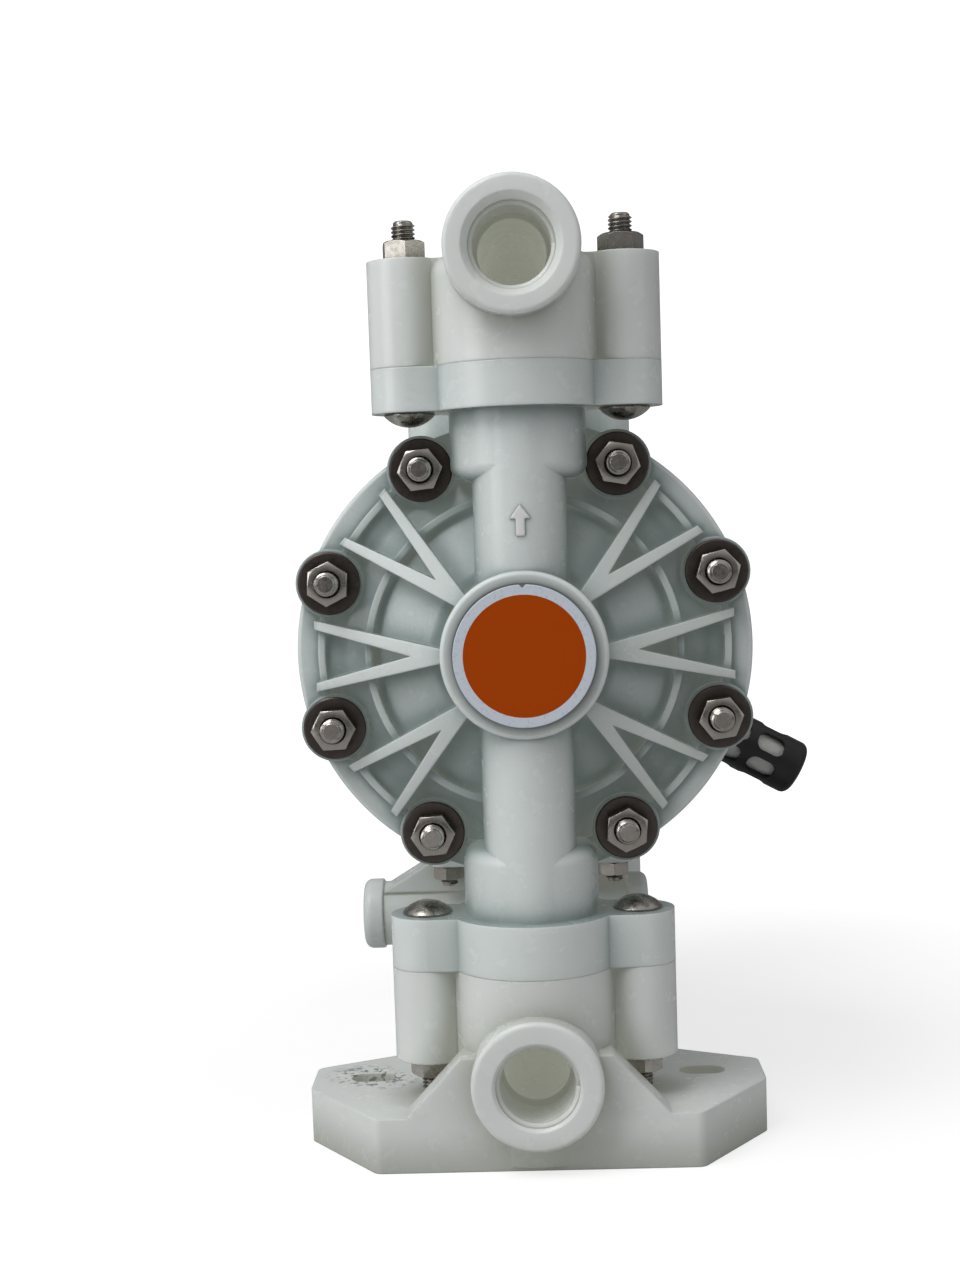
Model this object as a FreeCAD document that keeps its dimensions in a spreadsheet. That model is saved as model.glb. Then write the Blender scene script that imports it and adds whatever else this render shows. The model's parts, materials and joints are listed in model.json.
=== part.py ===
import math
import os

import FreeCAD
import Part
import Sketcher
from FreeCAD import Placement, Rotation, Vector

# Air operated double diaphragm pump, half-inch plastic frame. Millimetres.
# +Z is up, the diaphragm axis lies along Y, and the ports face -Y.
# The origin is on the floor, under the middle of the centre section.

SIZES = [
    # overall frame
    ("axis_height", 129.0, "floor to the shaft axis"),
    ("clamp_half", 58.0, "mid plane to each diaphragm's mid plane"),
    ("tower_out", 14.0, "diaphragm plane out to the valve tower's axis"),
    ("tube_out", 20.0, "diaphragm plane out to the cover's riser tube axis"),
    ("body_half", 34.0, "mid plane to the air cover's inner face"),
    # fluid cover
    ("rim_radius", 58.5, "cover flange"),
    ("flange_thick", 8.5, "cover flange"),
    ("dome_radius", 46.0, "foot of the dome"),
    ("dome_top_radius", 23.0, "top of the dome"),
    ("dome_rise", 10.5, "dome above the flange"),
    ("cover_wall", 4.5, "dome wall, measured along the axis"),
    ("hub_radius", 20.8, "round hub"),
    ("hub_rise", 31.5, "hub face above the clamp face"),
    ("hub_recess", 0.8, "recess for the round plate"),
    ("recess_radius", 17.6, "recess for the round plate"),
    ("ring_radius", 39.5, "inner ring rib"),
    ("rim_ring_radius", 52.0, "outer ring rib"),
    ("ring_thick", 1.8, "ring ribs"),
    ("ring_rise", 6.0, "inner ring rib above the flange"),
    ("rim_ring_rise", 1.6, "outer ring rib above the flange"),
    ("edge_round", 1.2, "moulded edges"),
    ("dome_foot_round", 4.0, "where dome and flange meet"),
    ("socket_round", 4.0, "sockets' rounded ends"),
    ("chamber_height", 20.0, "ball chambers"),
    ("rib_thick", 2.2, "radial ribs at their tips"),
    ("rib_reach", 53.5, "rib tips from the axis"),
    ("rib_spread", 8.0, "rib tips either side of their pair's line"),
    ("rib_fork", 28.5, "where a pair of ribs parts"),
    ("rib_root_half", 1.5, "half the width of a pair at the hub"),
    ("rib_hub_rise", 24.5, "rib height at the hub, above the clamp face"),
    ("rib_tip_rise", 11.2, "rib height at the rim, above the clamp face"),
    ("bolt_circle", 52.6, "cover bolts"),
    ("bolt_angle_low", 20.65, "first bolt from the horizontal"),
    ("bolt_angle_high", 61.9, "second bolt from the horizontal"),
    ("ear_radius", 8.7, "bolt ears"),
    ("seat_rise", 2.0, "bolt ears above the flange"),
    ("tube_radius", 11.7, "riser tube"),
    ("passage_radius", 7.8, "flow passage"),
    ("socket_radius", 17.2, "socket between tube and manifold flange"),
    ("socket_top_from", 43.0, "upper socket's lower end above the axis"),
    ("socket_low_from", 49.0, "lower socket's upper end below the axis"),
    ("seam_top", 71.5, "outlet manifold seam above the axis"),
    ("seam_low", 80.5, "inlet manifold seam below the axis"),
    ("joint_thick", 11.0, "upper manifold flange on the cover"),
    ("low_joint_thick", 13.5, "lower manifold flange on the cover"),
    ("joint_radius", 21.3, "round middle of the manifold flange"),
    ("lug_radius", 9.5, "flange lugs"),
    ("lug_reach", 27.0, "manifold bolts either side of the tower's axis"),
    # diaphragms, plates and shaft
    ("film", 3.0, "diaphragm thickness"),
    ("film_radius", 49.0, "diaphragm"),
    ("cavity_radius", 42.0, "chamber at the diaphragm"),
    ("cavity_floor", 12.0, "air chamber depth"),
    ("cavity_floor_radius", 26.0, "air chamber floor"),
    ("plate_radius", 22.0, "diaphragm plates"),
    ("plate_thick", 4.0, "diaphragm plates"),
    ("shaft_radius", 6.0, "main shaft"),
    ("shaft_tip_radius", 4.0, "shaft through the diaphragm and plates"),
    ("bush_wall", 3.0, "shaft bushes"),
    ("run_gap", 0.05, "radial clearance of sliding pieces"),
    ("fit_gap", 0.25, "clearance of pieces that are dropped in"),
    ("stroke", 4.0, "shaft travel either way"),
    # centre section
    ("body_radius", 34.0, "centre body flanges"),
    ("waist_radius", 29.0, "centre body waist"),
    ("waist_half", 24.0, "centre body waist"),
    ("boss_radius", 11.0, "air ports"),
    ("boss_reach", 45.0, "air ports from the axis"),
    ("air_port_radius", 6.58, "quarter-inch air port"),
    ("air_port_depth", 11.0, "quarter-inch air port"),
    ("muffler_angle", 28.6, "exhaust port below the horizontal"),
    ("pad_drop", 60.0, "valve pad below the axis"),
    ("pad_half_x", 29.0, "valve pad"),
    ("pad_half_y", 17.0, "valve pad"),
    ("pad_thick", 6.0, "valve pad"),
    ("neck_half", 17.0, "neck above the valve pad"),
    ("pilot_offset", 17.0, "pilot rod above the shaft"),
    ("pilot_radius", 2.5, "pilot rod"),
    ("pilot_half", 48.0, "half the pilot rod's length"),
    # air valve
    ("valve_axis_drop", 82.5, "spool axis below the shaft axis"),
    ("valve_radius", 9.5, "valve barrel"),
    ("valve_left", 44.0, "barrel's left end"),
    ("valve_right", 28.0, "barrel's right end"),
    ("valve_cap", 6.0, "valve end caps"),
    ("spool_radius", 6.0, "spool lands"),
    ("spool_waist", 3.5, "spool between its lands"),
    ("spool_half", 30.0, "half the spool's length"),
    ("spool_land", 9.0, "each land"),
    ("valve_neck_half", 7.0, "neck above the barrel, front to back"),
    ("cap_lip", 0.8, "caps beyond the barrel"),
    ("valve_bolt_x", 24.0, "valve bolts either side"),
    ("valve_bolt_y", 12.5, "valve bolts front and back"),
    # muffler
    ("muffler_radius", 8.0, "muffler cage"),
    ("muffler_length", 40.0, "muffler cage"),
    ("muffler_end", 4.5, "solid end of the cage beyond its last slots"),
    ("muffler_wall", 1.7, "muffler cage"),
    ("muffler_collar", 5.0, "collar under the cage"),
    ("muffler_bore", 3.0, "bore of the collar and felt"),
    ("muffler_bar", 2.6, "bar between two slots in line"),
    ("muffler_slot_half", 2.9, "half a slot's width"),
    ("muffler_slot_round", 2.4, "corners of a slot"),
    # manifolds and foot
    ("port_radius", 16.5, "port bosses"),
    ("port_reach", 27.0, "port mouth from the tower's axis"),
    ("thread_radius", 10.48, "half-inch pipe thread, outer radius"),
    ("thread_depth", 18.0, "half-inch pipe thread"),
    ("mouth_radius", 12.1, "countersink of the outlet port"),
    ("mouth_depth", 2.0, "countersink of the outlet port"),
    ("inlet_mouth", 11.2, "countersink of the inlet port"),
    ("inlet_mouth_depth", 0.8, "countersink of the inlet port"),
    ("pipe_radius", 13.0, "manifold pipe between the towers"),
    ("pipe_bore", 8.5, "manifold pipe"),
    ("tower_round", 6.0, "rounded top of a tower and end of the pipe"),
    ("web_half", 6.5, "web between tower and lug"),
    ("outlet_lug", 26.5, "outlet lug height"),
    ("outlet_axis", 26.3, "outlet axis above its seam"),
    ("inlet_lug", 24.0, "inlet lug height"),
    ("inlet_axis", 25.3, "inlet axis below its seam"),
    ("foot_thick", 14.0, "foot plate"),
    ("foot_half", 60.0, "front foot's half width"),
    ("foot_front_half", 41.0, "front foot's outer edge, half width"),
    ("foot_back_half", 36.0, "front foot's inner edge, half width"),
    ("rear_foot_half", 44.0, "rear foot's half width"),
    ("rear_foot_front_half", 32.0, "rear foot's outer edge, half width"),
    ("rear_foot_back_half", 31.0, "rear foot's inner edge, half width"),
    ("foot_front", 20.0, "tower's axis to the foot's front edge"),
    ("foot_side_front", 6.0, "tower's axis back to the foot's side edge"),
    ("foot_side_back", 24.0, "tower's axis back to the side edge's end"),
    ("foot_back", 36.0, "tower's axis back to the foot's back edge"),
    ("foot_round", 3.0, "foot plate's corners"),
    ("foot_hole_x", 44.0, "front foot's mounting slots either side"),
    ("rear_foot_hole_x", 34.0, "rear foot's mounting slots either side"),
    ("foot_hole_back", 15.0, "tower's axis back to the mounting slots"),
    ("slot_radius", 3.5, "mounting slots"),
    ("slot_length", 12.0, "mounting slots, end to end"),
    ("gusset_thick", 9.0, "front gusset of the foot"),
    ("gusset_base", 34.0, "front gusset's half width on the foot plate"),
    ("rear_gusset_base", 26.0, "rear gusset's half width on the foot plate"),
    ("gusset_top", 19.0, "gusset's half width at its top"),
    ("gusset_rise", 15.0, "gusset above the foot plate"),
    # ball valves
    ("ball_radius", 8.5, "check balls"),
    ("ball_room", 11.0, "chamber round a ball"),
    ("ball_lift", 4.0, "how far a ball lifts"),
    ("seat_bore", 5.5, "ball seats"),
    ("seat_radius", 13.0, "ball seats"),
    ("seat_thick", 6.0, "ball seats"),
    ("ring_section", 1.0, "seat O-rings, half thickness"),
    # fasteners
    ("bolt_radius", 3.0, "six millimetre bolts"),
    ("bolt_hole", 3.3, "clearance holes"),
    ("nut_across", 10.0, "hexagons across flats"),
    ("small_bolt", 2.5, "five millimetre bolts"),
    ("bolt_hole_small", 2.75, "their clearance holes"),
    ("small_across", 8.0, "their hexagons across flats"),
    ("small_head", 3.5, "their heads"),
    ("small_nut", 4.0, "their nuts"),
    ("nut_thick", 5.0, "nuts"),
    ("head_thick", 4.0, "bolt heads"),
    ("washer_radius", 7.0, "washers"),
    ("washer_thick", 1.4, "washers"),
    ("bolt_stub", 4.0, "cover bolts beyond their nuts"),
    ("manifold_stub", 5.0, "manifold bolts beyond their nuts"),
    ("dome_head_radius", 6.4, "round bolt heads"),
    ("dome_head_rise", 3.4, "round bolt heads"),
]


class Size:
    """A length that knows its value and the sheet expression that it comes from."""

    def __init__(self, value, text):
        self.value = float(value)
        self.text = text

    def __add__(self, other):
        other = sized(other)
        return Size(self.value + other.value, f"({self.text} + {other.text})")

    def __sub__(self, other):
        other = sized(other)
        return Size(self.value - other.value, f"({self.text} - {other.text})")

    def __mul__(self, factor):
        factor = sized(factor)
        return Size(self.value * factor.value, f"({self.text} * {factor.text})")

    def __truediv__(self, divisor):
        divisor = sized(divisor)
        return Size(self.value / divisor.value, f"({self.text} / {divisor.text})")

    def __neg__(self):
        return Size(-self.value, f"(-1 * {self.text})")

    __radd__ = __add__
    __rmul__ = __mul__

    def __rsub__(self, other):
        return sized(other) - self


def sized(number):
    return number if isinstance(number, Size) else Size(number, repr(float(number)))


def square_root(size):
    return Size(math.sqrt(size.value), f"sqrt({size.text})")


def cosine(angle):
    return Size(math.cos(math.radians(angle.value)), f"cos({angle.text})")


def sine(angle):
    return Size(math.sin(math.radians(angle.value)), f"sin({angle.text})")


doc = FreeCAD.newDocument("diaphragm_pump")
sheet = doc.addObject("Spreadsheet::Sheet", "Sizes")
for row, (alias, number, meaning) in enumerate(SIZES, start=1):
    sheet.set(f"A{row}", alias)
    sheet.set(f"B{row}", str(number))
    sheet.set(f"C{row}", meaning)
    sheet.setAlias(f"B{row}", alias)
doc.recompute()


class Sheet:
    """The sheet's sizes by name."""


S = Sheet()
for alias, _, _ in SIZES:
    setattr(S, alias, Size(sheet.get(alias), f"Sizes.{alias}"))

PARTS = []

# Places that several pieces share, out from the mid plane or from an axis.
CLAMP_FACE = S.clamp_half + S.film / 2
TOWER_AXIS = S.clamp_half + S.tower_out
TUBE_AXIS = S.clamp_half + S.tube_out
BUSH_RADIUS = S.shaft_radius + S.bush_wall
SEAT_POCKET = S.seat_thick + S.ring_section * 2

# Slots of the muffler's cage, along it and round it.
MUFFLER_ROWS = 3
MUFFLER_COLUMNS = 6

# Each side's pieces are modelled with z along the shaft, outwards from the mid plane, and y up.
FRONT = Rotation(Vector(1, 0, 0), 90)
BACK = Rotation(Vector(0, 0, 1), 180) * FRONT
UPRIGHT = Rotation()
HALF_TURN = Rotation(Vector(0, 0, 1), 180)
SIDES = (("front", FRONT, UPRIGHT, -1), ("rear", BACK, HALF_TURN, 1))


# Modelling helpers


def new_body(label, turn=UPRIGHT, at=(0, 0, 0)):
    """A sub-part whose own origin stands at a place that is bound to the sheet."""
    body = doc.addObject("PartDesign::Body", label)
    body.Label = label
    place(body, turn, at)
    PARTS.append(body)
    return body


def place(thing, turn, at):
    thing.Placement = Placement(Vector(*(sized(v).value for v in at)), turn)
    for axis, value in zip("xyz", at):
        if isinstance(value, Size):
            thing.setExpression(f"Placement.Base.{axis}", value.text)


def new_sketch(body, plane, lift=None, turn=None):
    sketch = body.newObject("Sketcher::SketchObject", "outline")
    support = [f for f in body.Origin.OriginFeatures if f.Role == plane][0]
    sketch.AttachmentSupport = [(support, "")]
    sketch.MapMode = "FlatFace"
    if lift is not None:
        sketch.AttachmentOffset = Placement(Vector(0, 0, lift.value), Rotation())
        sketch.setExpression("AttachmentOffset.Base.z", lift.text)
    if turn is not None:
        base = sketch.AttachmentOffset.Base
        sketch.AttachmentOffset = Placement(base, Rotation(Vector(0, 0, 1), turn.value))
        sketch.setExpression("AttachmentOffset.Rotation.Angle", turn.text)
    return sketch


def pin_point(sketch, geometry, position, x, y):
    """Holds a point of the sketch at x and y."""
    for kind, value, axis in (("DistanceX", sized(x), -2), ("DistanceY", sized(y), -1)):
        if value.value == 0:
            sketch.addConstraint(Sketcher.Constraint("PointOnObject", geometry, position, axis))
            continue
        held = Sketcher.Constraint(kind, -1, 1, geometry, position, value.value)
        index = sketch.addConstraint(held)
        if "Sizes" in value.text:
            sketch.setExpression(f"Constraints[{index}]", value.text)


def draw_circle(sketch, x, y, radius):
    x, y, radius = sized(x), sized(y), sized(radius)
    centre = Vector(x.value, y.value, 0)
    circle = sketch.addGeometry(Part.Circle(centre, Vector(0, 0, 1), radius.value))
    pin_point(sketch, circle, 3, x, y)
    index = sketch.addConstraint(Sketcher.Constraint("Radius", circle, radius.value))
    sketch.setExpression(f"Constraints[{index}]", radius.text)


def draw_outline(sketch, points):
    """A closed outline. Each point is (x, y), or (x, y, radius) for a rounded corner."""
    corners = [Vector(sized(p[0]).value, sized(p[1]).value, 0) for p in points]
    rounds = [corner_round(corners, i, p) for i, p in enumerate(points)]
    runs = [
        sketch.addGeometry(Part.LineSegment(rounds[i][1], rounds[(i + 1) % len(points)][0]))
        for i in range(len(points))
    ]
    for i, point in enumerate(points):
        before, after, centre = rounds[i]
        if centre is None:
            sketch.addConstraint(Sketcher.Constraint("Coincident", runs[i - 1], 2, runs[i], 1))
            pin_point(sketch, runs[i], 1, point[0], point[1])
            continue
        radius = sized(point[2])
        leftward = (corners[i] - before).cross(after - corners[i]).z > 0
        first, last = (before, after) if leftward else (after, before)
        spans = [math.atan2(p.y - centre.y, p.x - centre.x) for p in (first, last)]
        circle = Part.Circle(centre, Vector(0, 0, 1), radius.value)
        arc = sketch.addGeometry(Part.ArcOfCircle(circle, *spans))
        start, stop = (1, 2) if leftward else (2, 1)
        sketch.addConstraint(Sketcher.Constraint("Tangent", runs[i - 1], 2, arc, start))
        sketch.addConstraint(Sketcher.Constraint("Tangent", arc, stop, runs[i], 1))
        index = sketch.addConstraint(Sketcher.Constraint("Radius", arc, radius.value))
        sketch.setExpression(f"Constraints[{index}]", radius.text)
        corner = sketch.addGeometry(Part.Point(corners[i]), True)
        sketch.addConstraint(Sketcher.Constraint("PointOnObject", corner, 1, runs[i - 1]))
        sketch.addConstraint(Sketcher.Constraint("PointOnObject", corner, 1, runs[i]))
        pin_point(sketch, corner, 1, point[0], point[1])


def corner_round(corners, i, point):
    """Where a corner's arc starts and ends, and its centre, or no centre for a sharp corner."""
    corner = corners[i]
    if len(point) < 3:
        return corner, corner, None
    back = (corners[i - 1] - corner).normalize()
    ahead = (corners[(i + 1) % len(corners)] - corner).normalize()
    half = back.getAngle(ahead) / 2
    reach = sized(point[2]).value / math.tan(half)
    inward = (back + ahead).normalize()
    centre = corner + inward * (sized(point[2]).value / math.sin(half))
    return corner + back * reach, corner + ahead * reach, centre


def draw_slot(sketch, x, y, length, radius):
    """A slot along the sketch's x axis. Its length is end to end, and its middle is at x and y."""
    half = sized(length) / 2 - radius
    x, y, radius = sized(x), sized(y), sized(radius)
    arcs = []
    for end, turn in ((x + half, -90), (x - half, 90)):
        centre = Vector(end.value, y.value, 0)
        circle = Part.Circle(centre, Vector(0, 0, 1), radius.value)
        spans = math.radians(turn), math.radians(turn + 180)
        arcs.append(sketch.addGeometry(Part.ArcOfCircle(circle, *spans)))
        pin_point(sketch, arcs[-1], 3, end, y)
        index = sketch.addConstraint(Sketcher.Constraint("Radius", arcs[-1], radius.value))
        sketch.setExpression(f"Constraints[{index}]", radius.text)
    for first, last in (arcs, arcs[::-1]):
        start = sketch.getPoint(first, 2)
        line = sketch.addGeometry(Part.LineSegment(start, sketch.getPoint(last, 1)))
        sketch.addConstraint(Sketcher.Constraint("Tangent", first, 2, line, 1))
        sketch.addConstraint(Sketcher.Constraint("Tangent", line, 2, last, 1))


def box_points(x_low, x_high, y_low, y_high):
    return [(x_low, y_low), (x_high, y_low), (x_high, y_high), (x_low, y_high)]


def pad(body, sketch, length, backwards=False, both_ways=False):
    feature = body.newObject("PartDesign::Pad", "pad")
    feature.Profile = sketch
    feature.setExpression("Length", sized(length).text)
    feature.Reversed = backwards
    feature.Midplane = both_ways
    feature.Refine = False
    return feature


def pocket(body, sketch, length, backwards=False, both_ways=False):
    feature = body.newObject("PartDesign::Pocket", "pocket")
    feature.Profile = sketch
    feature.setExpression("Length", sized(length).text)
    feature.Reversed = backwards
    feature.Midplane = both_ways
    feature.Refine = False
    return feature


def turned(body, points, plane="XZ_Plane", axis="V_Axis", cut=False, shift_x=None, shift_y=None):
    """A solid, or a cut, of the outline turned about the sketch's own axis."""
    sketch = new_sketch(body, plane)
    base = Vector(sized(shift_x or 0).value, sized(shift_y or 0).value, 0)
    sketch.AttachmentOffset = Placement(base, Rotation())
    for name, shift in (("x", shift_x), ("y", shift_y)):
        if shift is not None:
            sketch.setExpression(f"AttachmentOffset.Base.{name}", shift.text)
    draw_outline(sketch, points)
    kind = "PartDesign::Groove" if cut else "PartDesign::Revolution"
    feature = body.newObject(kind, "turned")
    feature.Profile = sketch
    feature.ReferenceAxis = (sketch, [axis])
    feature.Angle = 360
    feature.Refine = False
    return feature


def post(body, plane, x, y, radius, low, high, cut=False):
    """A round post, or a hole, between two heights over one of the body's own planes."""
    low, high = sized(low), sized(high)
    sketch = new_sketch(body, plane, lift=low)
    draw_circle(sketch, x, y, radius)
    if cut:
        return pocket(body, sketch, high - low, backwards=True)
    return pad(body, sketch, high - low)


def block(body, plane, points, low, high, cut=False):
    low, high = sized(low), sized(high)
    sketch = new_sketch(body, plane, lift=low)
    draw_outline(sketch, points)
    if cut:
        return pocket(body, sketch, high - low, backwards=True)
    return pad(body, sketch, high - low)


# The pump's sub-parts


def fluid_cover(side, turn):
    """The outer shell of one pumping chamber, with its riser tube and both manifold flanges."""
    body = new_body(f"{side}_fluid_cover", turn, (0, 0, S.axis_height))
    cover_dome(body)
    cover_ribs(body)
    cover_tower(body)
    cover_chambers(body)
    cover_holes(body)


def cover_dome(body):
    """The flange, the dome and the hub, turned in one."""
    top = CLAMP_FACE + S.flange_thick
    hub_face = CLAMP_FACE + S.hub_rise
    turned(
        body,
        [
            (0, CLAMP_FACE),
            (S.rim_radius, CLAMP_FACE),
            (S.rim_radius, top, S.edge_round),
            (S.dome_radius, top, S.dome_foot_round),
            (S.dome_top_radius, top + S.dome_rise, S.dome_foot_round),
            (S.hub_radius, top + S.dome_rise),
            (S.hub_radius, hub_face, S.edge_round),
            (0, hub_face),
        ],
    )


def cover_ribs(body):
    """Two ring ribs and six forked ribs, all on the flange, and the eight bolt ears."""
    top = CLAMP_FACE + S.flange_thick
    rib_foot = top - S.edge_round
    for radius, rise in ((S.ring_radius, S.ring_rise), (S.rim_ring_radius, S.rim_ring_rise)):
        half = S.ring_thick / 2
        turned(body, box_points(radius - half, radius + half, rib_foot, top + rise))
    for angle in rib_pair_angles():
        sketch = new_sketch(body, "XY_Plane", lift=rib_foot, turn=angle)
        draw_outline(sketch, rib_pair_points())
        pad(body, sketch, CLAMP_FACE + S.rib_hub_rise - rib_foot)
    turned(
        body,
        [
            (S.hub_radius, CLAMP_FACE + S.rib_hub_rise),
            (S.rib_reach, CLAMP_FACE + S.rib_tip_rise),
            (S.rim_radius, CLAMP_FACE + S.rib_tip_rise),
            (S.rim_radius, CLAMP_FACE + S.hub_rise),
            (S.hub_radius, CLAMP_FACE + S.hub_rise),
        ],
        cut=True,
    )
    ears = new_sketch(body, "XY_Plane", lift=CLAMP_FACE)
    for x, y in cover_bolt_places():
        draw_circle(ears, x, y, S.ear_radius)
    pad(body, ears, S.flange_thick + S.seat_rise)


def cover_tower(body):
    """The riser tube, a socket at each of its ends and the flanges that the manifolds meet."""
    low_joint = S.seam_low - S.low_joint_thick
    top_joint = S.seam_top - S.joint_thick
    post(body, "XZ_Plane", 0, TUBE_AXIS, S.tube_radius, -top_joint, low_joint)
    for near, far, sign in ((S.socket_top_from, top_joint, 1), (S.socket_low_from, low_joint, -1)):
        socket = [
            (sign * near, 0),
            (sign * near, S.socket_radius, S.socket_round),
            (sign * far, S.socket_radius),
            (sign * far, 0),
        ]
        turned(body, socket, "YZ_Plane", "H_Axis", shift_y=TOWER_AXIS)
    post(body, "XY_Plane", 0, 0, S.rim_radius + 1, CLAMP_FACE - S.socket_radius, CLAMP_FACE, cut=True)
    joint_flange(body, -S.seam_top, -top_joint)
    joint_flange(body, low_joint, S.seam_low)


def cover_chambers(body):
    """The liquid's way: the diaphragm's chamber, the tube's passage and both valve chambers."""
    floor = CLAMP_FACE + S.flange_thick - S.cover_wall
    turned(
        body,
        [
            (0, CLAMP_FACE - 1),
            (S.cavity_radius, CLAMP_FACE - 1),
            (S.cavity_radius, floor, S.dome_foot_round),
            (S.dome_top_radius - 2, floor + S.dome_rise, S.dome_foot_round),
            (0, floor + S.dome_rise),
        ],
        cut=True,
    )
    chamber_top = S.seam_low - S.chamber_height
    for y, radius, low, high in (
        (TUBE_AXIS, S.passage_radius, -(S.socket_top_from + 9), chamber_top + 2),
        (TOWER_AXIS, S.passage_radius, -S.seam_top, -(S.socket_top_from + 3)),
        (TOWER_AXIS, S.seat_radius + S.fit_gap, -S.seam_top, SEAT_POCKET - S.seam_top),
        (TOWER_AXIS, S.ball_room, chamber_top, S.seam_low),
    ):
        post(body, "XZ_Plane", 0, y, radius, low, high, cut=True)


def cover_holes(body):
    """The bolt holes of the flanges and ears, and the hub's recess for the round plate."""
    for low, thick in ((-S.seam_top, S.joint_thick), (S.seam_low - S.low_joint_thick, S.low_joint_thick)):
        holes = new_sketch(body, "XZ_Plane", lift=low)
        draw_circle(holes, S.lug_reach, TOWER_AXIS, S.bolt_hole)
        draw_circle(holes, -S.lug_reach, TOWER_AXIS, S.bolt_hole)
        pocket(body, holes, thick, backwards=True)
    holes = new_sketch(body, "XY_Plane", lift=CLAMP_FACE)
    for x, y in cover_bolt_places():
        draw_circle(holes, x, y, S.bolt_hole)
    pocket(body, holes, S.flange_thick + S.seat_rise, backwards=True)
    hub_face = CLAMP_FACE + S.hub_rise
    post(body, "XY_Plane", 0, 0, S.recess_radius, hub_face - S.hub_recess, hub_face, cut=True)


def rib_pair_angles():
    """A pair of ribs stands half way between each two neighbouring side bolts."""
    tilt = (S.bolt_angle_low + S.bolt_angle_high) / 2
    return (sized(0), tilt, 180 - tilt, sized(180), 180 + tilt, 360 - tilt)


def rib_pair_points():
    """A fork that leaves the hub as one web and ends as two ribs at the rim."""
    half = S.rib_thick / 2
    return [
        (S.hub_radius - 1.5, -S.rib_root_half),
        (S.rib_reach, -(S.rib_spread + half)),
        (S.rib_reach, -(S.rib_spread - half)),
        (S.rib_fork, 0),
        (S.rib_reach, S.rib_spread - half),
        (S.rib_reach, S.rib_spread + half),
        (S.hub_radius - 1.5, S.rib_root_half),
    ]


def cover_bolt_places():
    places = []
    for angle in (S.bolt_angle_low, S.bolt_angle_high):
        across, up = S.bolt_circle * cosine(angle), S.bolt_circle * sine(angle)
        places += [(across, up), (-across, up), (-across, -up), (across, -up)]
    return places


def joint_flange(body, low, high):
    """The two-lug flange that a manifold is bolted to, across the tower's axis."""
    post(body, "XZ_Plane", 0, TOWER_AXIS, S.joint_radius, low, high)
    lugs = new_sketch(body, "XZ_Plane", lift=low)
    draw_slot(lugs, 0, TOWER_AXIS, (S.lug_reach + S.lug_radius) * 2, S.lug_radius)
    pad(body, lugs, high - low)


def air_cover(side, turn):
    """The dished plate behind a diaphragm, which carries one of the shaft's bushes."""
    body = new_body(f"{side}_air_cover", turn, (0, 0, S.axis_height))
    back = CLAMP_FACE - S.film - S.flange_thick
    floor = S.clamp_half - S.cavity_floor
    turned(
        body,
        [
            (0, S.body_half),
            (S.body_radius, S.body_half),
            (S.dome_radius, back, S.dome_foot_round),
            (S.rim_radius, back, S.edge_round),
            (S.rim_radius, CLAMP_FACE),
            (S.film_radius + S.fit_gap, CLAMP_FACE),
            (S.film_radius + S.fit_gap, CLAMP_FACE - S.film),
            (S.cavity_radius, CLAMP_FACE - S.film),
            (S.cavity_floor_radius, floor, S.dome_foot_round),
            (0, floor),
        ],
    )
    ears = new_sketch(body, "XY_Plane", lift=back)
    for x, y in cover_bolt_places():
        draw_circle(ears, x, y, S.ear_radius)
    pad(body, ears, S.flange_thick)
    post(body, "XY_Plane", 0, 0, S.film_radius + S.fit_gap, CLAMP_FACE - S.film, CLAMP_FACE, cut=True)
    holes = new_sketch(body, "XY_Plane", lift=back)
    for x, y in cover_bolt_places():
        draw_circle(holes, x, y, S.bolt_hole)
    pocket(body, holes, S.flange_thick + S.film, backwards=True)
    post(body, "XY_Plane", 0, 0, BUSH_RADIUS, S.body_half, floor, cut=True)
    post(body, "XY_Plane", 0, S.pilot_offset, S.pilot_radius + S.run_gap, S.body_half, floor, cut=True)


def shaft_bush(side, turn):
    body = new_body(f"{side}_shaft_bush", turn, (0, 0, S.axis_height))
    inner = S.shaft_radius + S.run_gap
    turned(body, box_points(inner, BUSH_RADIUS, S.body_half, S.clamp_half - S.cavity_floor))


def diaphragm(side, turn):
    """A moulded disc: a flat clamped rim, one rolled convolution and a flat middle."""
    body = new_body(f"{side}_diaphragm", turn, (0, 0, S.axis_height))
    low, high = S.clamp_half - S.film / 2, S.clamp_half + S.film / 2
    roll_in, roll_out = S.plate_radius + 3, S.cavity_radius - 2
    crest = (roll_in + roll_out) / 2
    turned(
        body,
        [
            (S.shaft_tip_radius + S.fit_gap, low),
            (roll_in, low, S.film),
            (crest, low + S.film, S.film),
            (roll_out, low, S.film),
            (S.film_radius, low),
            (S.film_radius, high),
            (roll_out, high, S.film),
            (crest, high + S.film, S.film),
            (roll_in, high, S.film),
            (S.shaft_tip_radius + S.fit_gap, high),
        ],
    )


def diaphragm_plates(side, turn):
    """The outer plate carries a domed boss, and the inner one is a flat disc with a soft rim."""
    low, high = S.clamp_half - S.film / 2, S.clamp_half + S.film / 2
    outer = new_body(f"{side}_outer_plate", turn, (0, 0, S.axis_height))
    turned(
        outer,
        [
            (S.shaft_tip_radius, high),
            (S.plate_radius, high, S.edge_round),
            (S.plate_radius, high + S.plate_thick, S.plate_thick / 2),
            (S.nut_across, high + S.plate_thick),
            (S.nut_across, high + S.plate_thick + 2, S.edge_round),
            (S.shaft_tip_radius, high + S.plate_thick + 2),
        ],
    )
    inner = new_body(f"{side}_inner_plate", turn, (0, 0, S.axis_height))
    turned(
        inner,
        [
            (S.shaft_tip_radius, low - S.plate_thick),
            (S.plate_radius, low - S.plate_thick, S.plate_thick / 2),
            (S.plate_radius, low, S.edge_round),
            (S.shaft_tip_radius, low),
        ],
    )


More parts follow.
